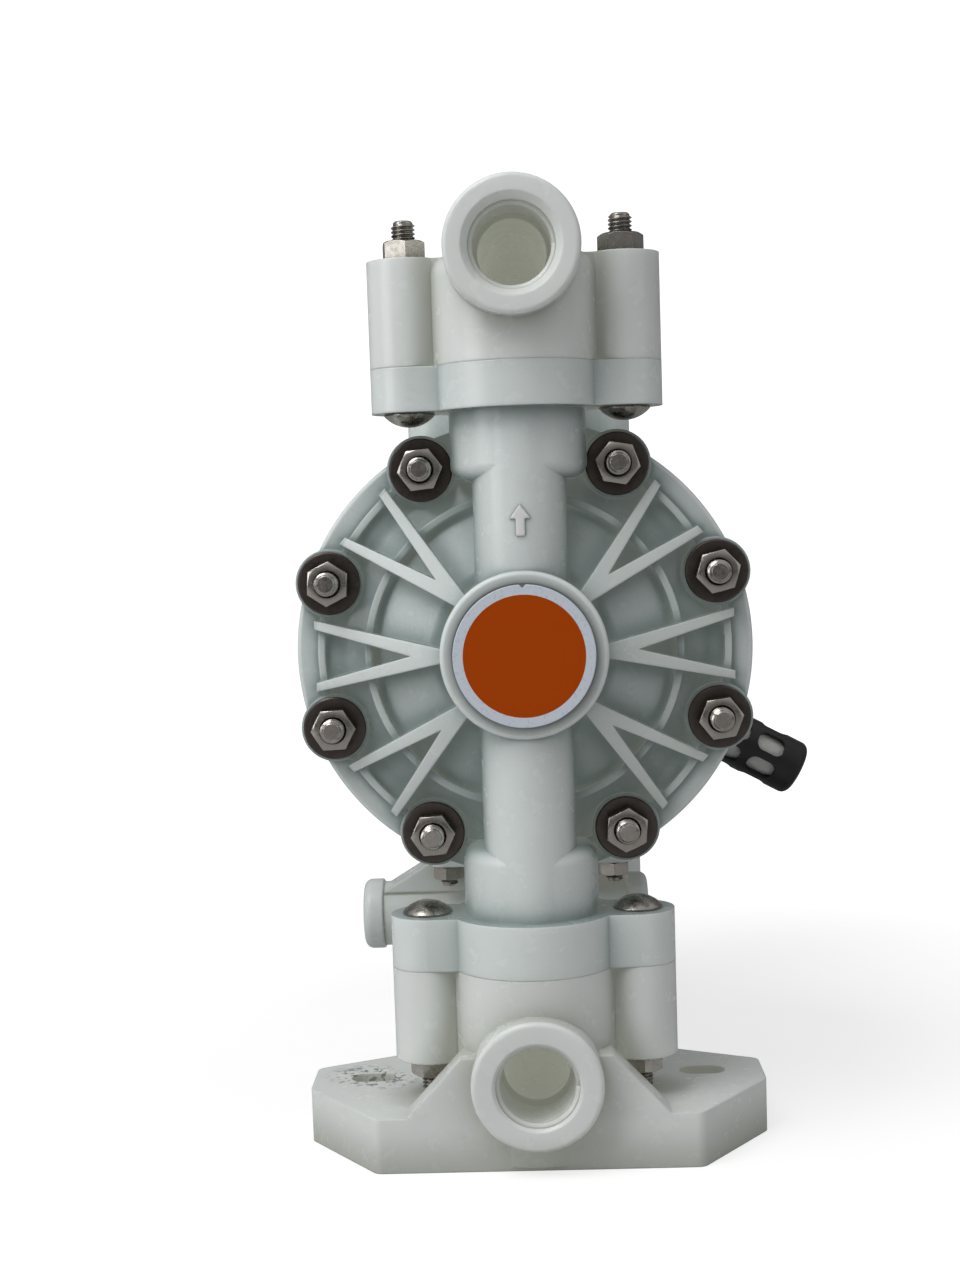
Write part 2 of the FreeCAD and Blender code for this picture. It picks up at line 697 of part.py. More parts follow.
def main_shaft():
    """One shaft joins both diaphragms. Its reduced ends pass through the plates."""
    body = new_body("main_shaft", FRONT, (0, 0, S.axis_height))
    shoulder = S.clamp_half - S.film / 2 - S.plate_thick
    tip = S.clamp_half + S.film / 2 + S.plate_thick + 2
    turned(
        body,
        [
            (0, -tip),
            (S.shaft_tip_radius, -tip),
            (S.shaft_tip_radius, -shoulder),
            (S.shaft_radius, -shoulder),
            (S.shaft_radius, shoulder),
            (S.shaft_tip_radius, shoulder),
            (S.shaft_tip_radius, tip),
            (0, tip),
        ],
    )


def pilot_rod():
    """A thin rod beside the shaft. The inner plates push it over at each stroke's end."""
    body = new_body("pilot_rod", FRONT, (0, 0, S.axis_height))
    post(body, "XY_Plane", 0, S.pilot_offset, S.pilot_radius, -S.pilot_half, S.pilot_half)


def centre_body():
    """The air section: a spool-shaped block with the valve pad and both air ports."""
    body = new_body("centre_body", FRONT, (0, 0, S.axis_height))
    half, waist = S.body_half, S.waist_half
    turned(
        body,
        [
            (0, -half),
            (S.body_radius, -half),
            (S.body_radius, -waist, S.edge_round),
            (S.waist_radius, -waist + 4, S.dome_foot_round),
            (S.waist_radius, waist - 4, S.dome_foot_round),
            (S.body_radius, waist, S.edge_round),
            (S.body_radius, half),
            (0, half),
        ],
    )
    neck = box_points(-S.neck_half, S.neck_half, -S.pad_half_y, S.pad_half_y)
    drop = S.pad_drop
    block(body, "XZ_Plane", neck, S.waist_radius - 4, drop)
    plate = box_points(-S.pad_half_x, S.pad_half_x, -S.pad_half_y, S.pad_half_y)
    sketch = new_sketch(body, "XZ_Plane", lift=drop - S.pad_thick)
    draw_outline(sketch, [(x, y, S.edge_round * 3) for x, y in plate])
    pad(body, sketch, S.pad_thick)
    for angle in (-S.muffler_angle, sized(180)):
        radial_post(body, angle, S.boss_radius, S.waist_radius - 4, S.boss_reach)
        depth = S.boss_reach - S.air_port_depth
        radial_post(body, angle, S.air_port_radius, depth, S.boss_reach, cut=True)
    post(body, "XY_Plane", 0, 0, S.shaft_radius + S.fit_gap * 2, -half, half, cut=True)
    post(body, "XY_Plane", 0, S.pilot_offset, S.pilot_radius + S.run_gap, -half, half, cut=True)
    holes = new_sketch(body, "XZ_Plane", lift=drop - S.pad_thick)
    for x, y in valve_bolt_places():
        draw_circle(holes, x, y, S.bolt_hole_small)
    pocket(body, holes, S.pad_thick, backwards=True)


def radial_post(body, angle, radius, low, high, cut=False):
    """A round post or hole square to the shaft. The angle turns from +x towards +y."""
    sketch = new_sketch(body, "YZ_Plane")
    out, up = low * cosine(angle), low * sine(angle)
    turn = Rotation(Vector(0, 1, 0), angle.value)
    sketch.AttachmentOffset = Placement(Vector(up.value, 0, out.value), turn)
    sketch.setExpression("AttachmentOffset.Base.x", up.text)
    sketch.setExpression("AttachmentOffset.Base.z", out.text)
    sketch.setExpression("AttachmentOffset.Rotation.Angle", angle.text)
    draw_circle(sketch, 0, 0, radius)
    if cut:
        return pocket(body, sketch, high - low, backwards=True)
    return pad(body, sketch, high - low)


def valve_bolt_places():
    x, y = S.valve_bolt_x, S.valve_bolt_y
    return [(x, y), (-x, y), (-x, -y), (x, -y)]


def valve_housing():
    """The main air valve: a barrel that hangs from the centre body's pad by a neck."""
    body = new_body("valve_housing", FRONT, (0, 0, S.axis_height))
    drop = S.pad_drop
    plate = box_points(-S.pad_half_x, S.pad_half_x, -S.pad_half_y, S.pad_half_y)
    sketch = new_sketch(body, "XZ_Plane", lift=drop)
    draw_outline(sketch, [(x, y, S.edge_round * 3) for x, y in plate])
    pad(body, sketch, S.pad_thick)
    neck = box_points(-S.neck_half + 1, S.neck_half - 1, -S.valve_neck_half, S.valve_neck_half)
    block(body, "XZ_Plane", neck, drop + S.pad_thick / 2, S.valve_axis_drop)
    post(body, "YZ_Plane", -S.valve_axis_drop, 0, S.valve_radius, -S.valve_left, S.valve_right)
    web = new_sketch(body, "XY_Plane")
    web_foot = S.valve_radius - S.valve_axis_drop - 2
    web_points = [
        (-S.valve_left, web_foot),
        (-S.neck_half, web_foot),
        (-S.neck_half, -(drop + S.pad_thick / 2)),
        (-S.pad_half_x + 5, -(drop + S.pad_thick / 2)),
    ]
    draw_outline(web, web_points)
    pad(body, web, S.valve_neck_half * 2, both_ways=True)
    bore = S.spool_radius + S.run_gap
    post(body, "YZ_Plane", -S.valve_axis_drop, 0, bore, -S.valve_left, S.valve_right, cut=True)
    holes = new_sketch(body, "XZ_Plane", lift=drop)
    for x, y in valve_bolt_places():
        draw_circle(holes, x, y, S.bolt_hole_small)
    pocket(body, holes, S.pad_thick, backwards=True)


def valve_cap(label, inner, outer):
    """A turned cap that closes one end of the valve barrel."""
    body = new_body(label, FRONT, (0, 0, S.axis_height))
    points = [
        (inner, 0),
        (inner, S.valve_radius + S.cap_lip, S.edge_round / 2),
        (outer, S.valve_radius + S.cap_lip, S.edge_round * 2),
        (outer, 0),
    ]
    turned(body, points, "XY_Plane", "H_Axis", shift_y=-S.valve_axis_drop)


def valve_spool():
    """Three lands on one stem. It shuttles between the end caps."""
    body = new_body("valve_spool", FRONT, (0, 0, S.axis_height))
    middle = (S.valve_right - S.valve_left) / 2
    land, half, stem, wide = S.spool_land, S.spool_half, S.spool_waist, S.spool_radius
    low, high = middle - half, middle + half
    points = [
        (low, 0),
        (low, wide),
        (low + land, wide),
        (low + land, stem),
        (middle - land / 2, stem),
        (middle - land / 2, wide),
        (middle + land / 2, wide),
        (middle + land / 2, stem),
        (high - land, stem),
        (high - land, wide),
        (high, wide),
        (high, 0),
    ]
    turned(body, points, "XY_Plane", "H_Axis", shift_y=-S.valve_axis_drop)


def muffler():
    """A black cage with rows of slots round a felt tube. Its own z axis points outwards."""
    angle = 90 + S.muffler_angle
    turn = Rotation(Vector(0, 1, 0), angle.value)
    across = S.boss_reach * cosine(S.muffler_angle)
    down = S.boss_reach * sine(S.muffler_angle)
    place_at = (across, 0, S.axis_height - down)
    cage = new_body("muffler_cage", turn, place_at)
    cage.setExpression("Placement.Rotation.Angle", angle.text)
    collar, end = S.muffler_collar, S.muffler_collar + S.muffler_length
    room = S.muffler_radius - S.muffler_wall
    stub = S.air_port_radius - S.run_gap
    turned(
        cage,
        [
            (S.muffler_bore, 1 - S.air_port_depth),
            (stub, 1 - S.air_port_depth),
            (stub, 0),
            (S.muffler_radius - 0.8, 0),
            (S.muffler_radius - 0.8, collar),
            (S.muffler_radius, collar + 1.5),
            (S.muffler_radius, end, S.edge_round * 2),
            (0, end),
            (0, end - S.muffler_wall),
            (room, end - S.muffler_wall),
            (room, collar + 1),
            (S.muffler_bore, collar + 1),
        ],
    )
    pitch = (S.muffler_length - S.muffler_end - S.muffler_bar) / MUFFLER_ROWS
    cuts = []
    for row in range(MUFFLER_ROWS):
        low = collar + S.muffler_bar + pitch * row
        high = low + pitch - S.muffler_bar
        sketch = new_sketch(cage, "YZ_Plane")
        half = S.muffler_slot_half
        slot = box_points(-half, half, low, high)
        draw_outline(sketch, [(x, y, S.muffler_slot_round) for x, y in slot])
        cuts.append(pocket(cage, sketch, S.muffler_radius + 1, backwards=True))
    pattern = cage.newObject("PartDesign::PolarPattern", "slots_round")
    pattern.Originals = cuts
    axis = [f for f in cage.Origin.OriginFeatures if f.Role == "Z_Axis"][0]
    pattern.Axis = (axis, [""])
    pattern.Angle = 360
    pattern.Occurrences = MUFFLER_COLUMNS
    cage.Tip = pattern

    felt = new_body("muffler_felt", turn, place_at)
    felt.setExpression("Placement.Rotation.Angle", angle.text)
    outer = room - S.fit_gap
    turned(felt, box_points(S.muffler_bore, outer, collar + 1, end - S.muffler_wall))


def manifold_lugs(body, y, low, high):
    """The two bolt lugs beside a valve tower, with the web that joins them."""
    lugs = new_sketch(body, "XY_Plane", lift=low)
    draw_circle(lugs, S.lug_reach, y, S.lug_radius)
    draw_circle(lugs, -S.lug_reach, y, S.lug_radius)
    pad(body, lugs, high - low)
    web = box_points(-S.lug_reach, S.lug_reach, y - S.web_half, y + S.web_half)
    block(body, "XY_Plane", web, low, high)


def lug_holes(body, y, low, high):
    holes = new_sketch(body, "XY_Plane", lift=low)
    draw_circle(holes, S.lug_reach, y, S.bolt_hole)
    draw_circle(holes, -S.lug_reach, y, S.bolt_hole)
    pocket(body, holes, high - low, backwards=True)


def port_boss(body, height):
    """The boss round a threaded port. It faces the front."""
    mouth = -(TOWER_AXIS + S.port_reach)
    points = [
        (-TOWER_AXIS, 0),
        (-TOWER_AXIS, S.port_radius),
        (mouth, S.port_radius, S.edge_round),
        (mouth, 0),
    ]
    turned(body, points, "YZ_Plane", "H_Axis", shift_y=height)


def port_bores(body, height, mouth_radius, mouth_depth, back):
    """The pipe bore, the thread's bore and the countersink of a port."""
    mouth = TOWER_AXIS + S.port_reach
    post(body, "XZ_Plane", 0, height, S.pipe_bore, -back, mouth, cut=True)
    post(body, "XZ_Plane", 0, height, S.thread_radius, mouth - S.thread_depth, mouth, cut=True)
    points = [
        (-(mouth + 1), 0),
        (-(mouth + 1), mouth_radius),
        (-mouth, mouth_radius),
        (-(mouth - mouth_depth), S.thread_radius),
        (-(mouth - mouth_depth), 0),
    ]
    turned(body, points, "YZ_Plane", "H_Axis", cut=True, shift_y=height)


def outlet_manifold():
    """The upper pipe with its two towers. Heights are above its seam."""
    body = new_body("outlet_manifold", UPRIGHT, (0, 0, S.axis_height + S.seam_top))
    height = S.outlet_axis
    post(body, "XZ_Plane", 0, height, S.pipe_radius, -TOWER_AXIS, TOWER_AXIS)
    for y in (-TOWER_AXIS, TOWER_AXIS):
        manifold_lugs(body, y, sized(0), S.outlet_lug)
        tower = [
            (0, 0),
            (S.joint_radius, 0),
            (S.joint_radius, S.outlet_lug + 1, S.tower_round),
            (0, S.outlet_lug + 1),
        ]
        turned(body, tower, "YZ_Plane", "V_Axis", shift_x=y)
    port_boss(body, height)
    end = TOWER_AXIS + S.port_radius
    cap = [(TOWER_AXIS, 0), (TOWER_AXIS, S.port_radius), (end, S.port_radius, S.tower_round), (end, 0)]
    turned(body, cap, "YZ_Plane", "H_Axis", shift_y=height)
    for y in (-TOWER_AXIS, TOWER_AXIS):
        post(body, "XY_Plane", 0, y, S.ball_room, 0, S.chamber_height, cut=True)
        post(body, "XY_Plane", 0, y, S.passage_radius, 0, height, cut=True)
        lug_holes(body, y, sized(0), S.outlet_lug)
    port_bores(body, height, S.mouth_radius, S.mouth_depth, TOWER_AXIS)


def inlet_manifold():
    """The lower pipe, its two towers and the foot, in one moulding. Heights are below its seam."""
    body = new_body("inlet_manifold", UPRIGHT, (0, 0, S.axis_height - S.seam_low))
    floor = S.seam_low - S.axis_height
    height = -S.inlet_axis
    post(body, "XZ_Plane", 0, height, S.pipe_radius, -TOWER_AXIS, TOWER_AXIS)
    for sign in (-1, 1):
        y = sign * TOWER_AXIS
        post(body, "XY_Plane", 0, y, S.joint_radius, floor + 1, sized(0))
        manifold_lugs(body, y, -S.inlet_lug, sized(0))
        foot(body, sign, floor)
    port_boss(body, height)
    for sign in (-1, 1):
        y = sign * TOWER_AXIS
        post(body, "XY_Plane", 0, y, S.seat_radius + S.fit_gap, -SEAT_POCKET, 0, cut=True)
        post(body, "XY_Plane", 0, y, S.passage_radius, height, 0, cut=True)
        lug_holes(body, y, -S.inlet_lug, sized(0))
    port_bores(body, height, S.inlet_mouth, S.inlet_mouth_depth, TOWER_AXIS)
    slots = new_sketch(body, "XY_Plane", lift=floor)
    for sign in (-1, 1):
        y = sign * (TOWER_AXIS - S.foot_hole_back)
        reach = S.foot_hole_x if sign < 0 else S.rear_foot_hole_x
        for x in (-reach, reach):
            draw_slot(slots, x, y, S.slot_length, S.slot_radius)
    pocket(body, slots, S.foot_thick, backwards=True)


def foot(body, sign, floor):
    """The plate under one tower, with the gusset and the bridge that carry the tower on it."""
    plate_top = floor + S.foot_thick
    gusset_top = plate_top + S.gusset_rise
    block(body, "XY_Plane", foot_points(sign), floor, plate_top)
    base = S.gusset_base if sign < 0 else S.rear_gusset_base
    gusset = [
        (-base, plate_top - 1),
        (base, plate_top - 1),
        (S.gusset_top, gusset_top),
        (-S.gusset_top, gusset_top),
    ]
    outer = TOWER_AXIS + S.foot_front
    inner = outer - S.gusset_thick
    block(body, "XZ_Plane", gusset, *ordered(-sign * inner, -sign * outer))
    bridge = box_points(-S.gusset_top, S.gusset_top, plate_top - 1, gusset_top)
    block(body, "XZ_Plane", bridge, *ordered(-sign * TOWER_AXIS, -sign * inner))


def ordered(first, second):
    return (first, second) if first.value < second.value else (second, first)


def foot_points(sign):
    """One foot's outline: a straight outer edge with its corners cut off. The rear is narrower."""
    half_width, outer_half, inner_half = (
        (S.foot_half, S.foot_front_half, S.foot_back_half)
        if sign < 0
        else (S.rear_foot_half, S.rear_foot_front_half, S.rear_foot_back_half)
    )
    front = sign * (TOWER_AXIS + S.foot_front)
    side_front = sign * (TOWER_AXIS - S.foot_side_front)
    side_back = sign * (TOWER_AXIS - S.foot_side_back)
    back = sign * (TOWER_AXIS - S.foot_back)
    half = [
        (outer_half, front, S.foot_round),
        (half_width, side_front, S.foot_round),
        (half_width, side_back, S.foot_round),
        (inner_half, back, S.foot_round),
    ]
    return half + [(-x, y, r) for x, y, r in reversed(half)]


def ball_valve(side, end, sign):
    """A loose ball on its seat, with the ring that seals the seat. It opens upwards."""
    y = sign * TOWER_AXIS
    seam = S.axis_height + S.seam_top if end == "outlet" else S.axis_height - S.seam_low
    seat = new_body(f"{side}_{end}_seat", UPRIGHT, (0, y, seam))
    turned(seat, box_points(S.seat_bore, S.seat_radius, -S.seat_thick, sized(0)))
    ring = primitive("Part::Torus", f"{side}_{end}_seat_ring")
    size_of(ring, Radius1=S.seat_radius - S.ring_section, Radius2=S.ring_section)
    place(ring, UPRIGHT, (0, y, seam - S.seat_thick - S.ring_section))
    ball = primitive("Part::Sphere", f"{side}_{end}_ball")
    size_of(ball, Radius=S.ball_radius)
    rise = square_root(S.ball_radius * S.ball_radius - S.seat_bore * S.seat_bore)
    place(ball, UPRIGHT, (0, y, seam + rise + S.run_gap))
    PARTS.extend([ring, ball])


# Fasteners


def primitive(kind, label):
    thing = doc.addObject(kind, label)
    thing.Label = label
    return thing


def size_of(thing, **sizes):
    for name, value in sizes.items():
        setattr(thing, name, value.value)
        thing.setExpression(name, value.text)


def rod(radius, length, turn, at):
    thing = primitive("Part::Cylinder", "rod")
    size_of(thing, Radius=radius, Height=length)
    place(thing, turn, at)
    return thing


def hexagon(across, length, turn, at):
    thing = primitive("Part::Prism", "hexagon")
    thing.Polygon = 6
    size_of(thing, Circumradius=across / math.sqrt(3), Height=length)
    place(thing, turn, at)
    return thing


def round_head(turn, x, y, seat, up):
    """A shallow dome: the top of a larger ball, whose middle lies beyond the head's seat."""
    radius, rise = S.dome_head_radius, S.dome_head_rise
    ball = (radius * radius + rise * rise) / (rise * 2)
    sunk = ball - rise
    thing = primitive("Part::Sphere", "dome")
    size_of(thing, Radius=ball)
    thing.Angle1 = math.degrees(math.asin(sunk.value / ball.value))
    thing.setExpression("Angle1", f"asin({(sunk / ball).text})")
    place(thing, turn, (x, y, seat + up * sunk))
    return thing


def joined(kind, first, second):
    thing = doc.addObject(kind, "joined")
    thing.Base = first
    thing.Tool = second
    return thing


def group(label, pieces):
    """Identical loose pieces share one sub-part."""
    thing = primitive("Part::Compound", label)
    thing.Links = pieces
    PARTS.append(thing)


def nut(across, thick, hole, turn, at):
    return joined("Part::Cut", hexagon(across, thick, turn, at), rod(hole, thick, turn, at))


def cover_fasteners(side, turn, sign):
    """Eight bolts from behind the air cover, with a washer and a nut on each fluid cover ear."""
    back = CLAMP_FACE - S.film - S.flange_thick
    ear = CLAMP_FACE + S.flange_thick + S.seat_rise
    nut_from = ear + S.washer_thick
    tip = nut_from + S.nut_thick + S.bolt_stub
    bolts, washers, nuts = [], [], []
    for across, up in cover_bolt_places():
        height = S.axis_height + up
        head_at = (across, sign * (back - S.head_thick), height)
        head = hexagon(S.nut_across, S.head_thick, turn, head_at)
        shank = rod(S.bolt_radius, tip - back + S.head_thick, turn, head_at)
        bolts.append(joined("Part::Fuse", head, shank))
        washer_at = (across, sign * ear, height)
        washer = rod(S.washer_radius, S.washer_thick, turn, washer_at)
        hole = rod(S.bolt_hole, S.washer_thick, turn, washer_at)
        washers.append(joined("Part::Cut", washer, hole))
        nut_at = (across, sign * nut_from, height)
        nuts.append(nut(S.nut_across, S.nut_thick, S.bolt_radius + S.run_gap, turn, nut_at))
    group(f"{side}_cover_bolts", bolts)
    group(f"{side}_cover_washers", washers)
    group(f"{side}_cover_nuts", nuts)


def manifold_fasteners(end, head_seat, nut_seat, up):
    """Round-headed bolts through a cover's lugs, with their nuts on the manifold's lugs."""
    turn = UPRIGHT if up > 0 else Rotation(Vector(1, 0, 0), 180)
    over = Rotation(Vector(1, 0, 0), 180) if up > 0 else UPRIGHT
    tip = nut_seat + up * (S.nut_thick + S.manifold_stub)
    length = up * (tip - head_seat) + 1
    bolts, nuts = [], []
    for y in (-TOWER_AXIS, TOWER_AXIS):
        for x in (-S.lug_reach, S.lug_reach):
            dome = round_head(over, x, y, head_seat, up)
            shank = rod(S.bolt_radius, length, turn, (x, y, head_seat - up))
            bolts.append(joined("Part::Fuse", dome, shank))
            hole = S.bolt_radius + S.run_gap
            nuts.append(nut(S.nut_across, S.nut_thick, hole, turn, (x, y, nut_seat)))
    group(f"{end}_manifold_bolts", bolts)
    group(f"{end}_manifold_nuts", nuts)


def valve_fasteners():
    """Four bolts that clamp the valve's plate under the centre body's pad."""
    seat = S.axis_height - S.pad_drop + S.pad_thick
    under = S.axis_height - S.pad_drop - S.pad_thick
    down = Rotation(Vector(1, 0, 0), 180)
    bolts, nuts = [], []
    for x, y in valve_bolt_places():
        at = (x, y, seat + S.small_head)
        head = hexagon(S.small_across, S.small_head, down, at)
        length = S.small_head + S.pad_thick * 2 + S.small_nut + 2
        bolts.append(joined("Part::Fuse", head, rod(S.small_bolt, length, down, at)))
        hole = S.small_bolt + S.run_gap
        nuts.append(nut(S.small_across, S.small_nut, hole, down, (x, y, under)))
    group("valve_bolts", bolts)
    group("valve_nuts", nuts)


# The assembly

for side, turn, half_turn, sign in SIDES:
    fluid_cover(side, turn)
    air_cover(side, turn)
    shaft_bush(side, turn)
    diaphragm(side, turn)
    diaphragm_plates(side, turn)
    cover_fasteners(side, turn, sign)
    for end in ("inlet", "outlet"):
        ball_valve(side, end, sign)
main_shaft()
pilot_rod()
centre_body()
valve_housing()
valve_cap("valve_left_cap", -S.valve_left, -(S.valve_left + S.valve_cap))
valve_cap("valve_right_cap", S.valve_right, S.valve_right + S.valve_cap)
valve_spool()
muffler()
outlet_manifold()
inlet_manifold()
valve_fasteners()
top_joint = S.axis_height + S.seam_top
manifold_fasteners("outlet", top_joint - S.joint_thick, top_joint + S.outlet_lug, 1)
low_joint = S.axis_height - S.seam_low
manifold_fasteners("inlet", low_joint + S.low_joint_thick, low_joint - S.inlet_lug, -1)

for thing in PARTS:
    if thing.TypeId == "PartDesign::Body":
        thing.Tip.Refine = True
doc.recompute()
faulty = [f"{o.Label}: {o.State}" for o in doc.Objects if {"Invalid", "Error"} & set(o.State)]
for thing in PARTS:
    if thing.Shape.isNull() or not thing.Shape.isValid():
        faulty.append(f"{thing.Label}: no valid shape")
if faulty:
    raise RuntimeError("; ".join(faulty))

os.makedirs("parts", exist_ok=True)
for thing in PARTS:
    thing.Shape.exportStep(os.path.join("parts", f"{thing.Label}.step"))
    print(thing.Label, len(thing.Shape.Solids), round(thing.Shape.Volume, 1))
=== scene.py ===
import bpy, bmesh
import json
import math
import random

from bpy.props import FloatProperty, FloatVectorProperty, IntProperty, PointerProperty
from mathutils import Matrix, Vector


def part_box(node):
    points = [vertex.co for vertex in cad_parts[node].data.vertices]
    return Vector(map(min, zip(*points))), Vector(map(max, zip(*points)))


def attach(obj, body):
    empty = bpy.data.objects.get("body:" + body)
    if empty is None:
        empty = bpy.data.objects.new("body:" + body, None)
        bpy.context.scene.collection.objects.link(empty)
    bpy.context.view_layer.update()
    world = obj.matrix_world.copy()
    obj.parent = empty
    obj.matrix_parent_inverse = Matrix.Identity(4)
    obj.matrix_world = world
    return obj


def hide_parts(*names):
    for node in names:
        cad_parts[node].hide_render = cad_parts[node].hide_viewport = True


bl_info = {
    "name": "Air operated diaphragm pump",
    "version": (1, 0, 0),
    "blender": (4, 5, 0),
    "location": "3D View > Sidebar > Pump",
    "description": "Finishes, hardware, threads and studio for the packed pump",
    "category": "Object",
}

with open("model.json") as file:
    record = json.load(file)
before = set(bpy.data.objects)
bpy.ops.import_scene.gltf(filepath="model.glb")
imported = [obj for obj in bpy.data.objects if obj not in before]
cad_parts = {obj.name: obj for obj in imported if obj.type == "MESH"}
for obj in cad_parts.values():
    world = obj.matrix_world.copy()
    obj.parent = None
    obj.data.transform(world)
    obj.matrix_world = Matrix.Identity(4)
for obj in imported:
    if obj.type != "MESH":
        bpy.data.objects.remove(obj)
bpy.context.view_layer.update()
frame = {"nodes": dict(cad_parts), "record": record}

MM = 0.001
ALONG_X = Matrix.Rotation(math.pi / 2, 4, "Y")
ALONG_Y = Matrix.Rotation(-math.pi / 2, 4, "X")
ALONG_Z = Matrix.Identity(4)
OVER = Matrix.Rotation(math.pi, 4, "X")

# The directions of a loop's points round a nut or a bolt's head.
RING = [2 * math.pi * i / 72 for i in range(72)]
# Radius of a hexagon's flat face, as a share of its width across flats.
CHAMFER_START = 0.475
# Edges sharper than this stay sharp.
CREASE = math.radians(32)

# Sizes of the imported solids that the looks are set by.
SHAFT_RADIUS = 6 * MM
RISER_RADIUS = 11.7 * MM
RISER_Y = -78 * MM
FOOT_THICK = 14 * MM
# How far the round plate's back lies behind the cover's front.
PLATE_INSET = 0.8 * MM

# The soft lights: the stage's setting, the place, the point it faces and the size.
LIGHTS = (
    ("key", (-0.45, -0.45, 0.98), (0, -0.02, 0.13), 0.6),
    ("fill", (-0.85, -0.60, 0.35), (0, 0, 0.12), 0.5),
    ("side", (0.8, -0.55, 0.30), (0, 0, 0.12), 0.5),
)


# Settings


class PumpPlastic(bpy.types.PropertyGroup):
    """The milky white mouldings."""

    cover_colour: FloatVectorProperty(
        name="Cover", description="Fluid covers", subtype="COLOR", size=3, min=0, max=1,
        default=(0.82, 0.875, 0.86),
    )
    manifold_colour: FloatVectorProperty(
        name="Manifolds", description="Manifolds and foot", subtype="COLOR", size=3, min=0, max=1,
        default=(0.85, 0.88, 0.86),
    )
    centre_colour: FloatVectorProperty(
        name="Centre", description="Centre body, air covers and valve", subtype="COLOR", size=3,
        min=0, max=1, default=(0.70, 0.745, 0.73),
    )
    # Painted shade: a darker tone laid where other walls stand close, as between the covers' ribs.
    recess_shade_colour: FloatVectorProperty(
        name="Painted shade", description="Tint between the ribs of the covers", subtype="COLOR",
        size=3, min=0, max=1, default=(0.29, 0.36, 0.35),
    )
    # Painted shade: a darker, warmer tone laid in the bores and hollows of the manifolds, the foot
    # and the centre body.
    deep_shade_colour: FloatVectorProperty(
        name="Bore shade", description="Warm tint in the hollows of the thick manifolds",
        subtype="COLOR", size=3, min=0, max=1, default=(0.54, 0.56, 0.51),
    )
    # Painted light: the glow tint and strength set an emission in the deep hollows, standing in
    # for light that comes through the walls.
    painted_glow_colour: FloatVectorProperty(
        name="Glow tint", description="Tint of the light that comes through the walls",
        subtype="COLOR", size=3, min=0, max=1, default=(0.66, 0.655, 0.57),
    )
    glow: FloatProperty(
        name="Glow", description="Light that comes through the walls into a hollow", default=0.12,
        min=0,
    )
    milk: FloatProperty(
        name="Milkiness", description="Share of light that scatters inside", default=0.30,
        min=0, max=1, subtype="FACTOR",
    )
    scatter: FloatProperty(
        name="Scatter depth", description="How far light travels inside", default=2.6 * MM,
        min=0, unit="LENGTH",
    )
    roughness: FloatProperty(
        name="Roughness", description="Gloss of the moulded skin", default=0.22, min=0, max=1,
        subtype="FACTOR",
    )
    edge: FloatProperty(
        name="Edge radius", description="Rounding that the light sees at an edge",
        default=0.7 * MM, min=0, unit="LENGTH",
    )
    grain: FloatProperty(
        name="Grain depth", description="Height of the mould's fine texture",
        default=0.02 * MM, min=0, unit="LENGTH",
    )


class PumpMetal(bpy.types.PropertyGroup):
    """Bright hardware on the manifolds, duller hardware on the covers."""

    bright_colour: FloatVectorProperty(
        name="Bright steel", description="Manifold nuts and bolts", subtype="COLOR", size=3,
        min=0, max=1, default=(0.52, 0.49, 0.45),
    )
    dull_colour: FloatVectorProperty(
        name="Dull steel", description="Cover nuts and bolts", subtype="COLOR", size=3, min=0,
        max=1, default=(0.50, 0.465, 0.425),
    )
    washer_colour: FloatVectorProperty(
        name="Washers", description="Dark washers under the cover's nuts", subtype="COLOR",
        size=3, min=0, max=1, default=(0.13, 0.11, 0.10),
    )
    roughness: FloatProperty(
        name="Roughness", description="Polish of the bright steel", default=0.22, min=0, max=1,
        subtype="FACTOR",
    )


class PumpHardware(bpy.types.PropertyGroup):
    """Sizes of the nuts, bolts and washers that stand for the plain ones."""

    pitch: FloatProperty(
        name="Pitch", description="Thread pitch of the bolts", default=1.0 * MM, min=0,
        unit="LENGTH",
    )
    thread_depth: FloatProperty(
        name="Thread depth", description="Crest to root", default=0.55 * MM, min=0,
        unit="LENGTH",
    )
    bolt_radius: FloatProperty(
        name="Bolt radius", description="Six millimetre bolts", default=3.0 * MM, min=0,
        unit="LENGTH",
    )
    small_radius: FloatProperty(
        name="Small bolt radius", description="Five millimetre bolts of the valve",
        default=2.5 * MM, min=0, unit="LENGTH",
    )
    across: FloatProperty(
        name="Across flats", description="Nuts and hexagon heads", default=10.0 * MM, min=0,
        unit="LENGTH",
    )
    small_across: FloatProperty(
        name="Small across flats", description="Valve nuts and heads", default=8.0 * MM, min=0,
        unit="LENGTH",
    )
    threaded: FloatProperty(
        name="Threaded length", description="Thread at a bolt's end", default=13.0 * MM, min=0,
        unit="LENGTH",
    )
    head: FloatProperty(
        name="Head height", description="Hexagon heads of the cover bolts", default=4.0 * MM,
        min=0, unit="LENGTH",
    )
    small_head: FloatProperty(
        name="Small head height", description="Hexagon heads of the valve bolts",
        default=3.5 * MM, min=0, unit="LENGTH",
    )
    dome_radius: FloatProperty(
        name="Dome radius", description="Round heads of the manifold bolts", default=6.4 * MM,
        min=0, unit="LENGTH",
    )
    dome_rise: FloatProperty(
        name="Dome rise", description="Height of the round heads", default=3.4 * MM, min=0,
        unit="LENGTH",
    )
    washer_radius: FloatProperty(
        name="Washer radius", description="Wide washers under the cover's nuts",
        default=8.0 * MM, min=0, unit="LENGTH",
    )
    washer_hole: FloatProperty(
        name="Washer hole", description="Radius of the hole", default=3.3 * MM, min=0,
        unit="LENGTH",
    )
    seed: IntProperty(
        name="Seed", description="Turns the hexagons as they were tightened", default=7, min=0,
    )


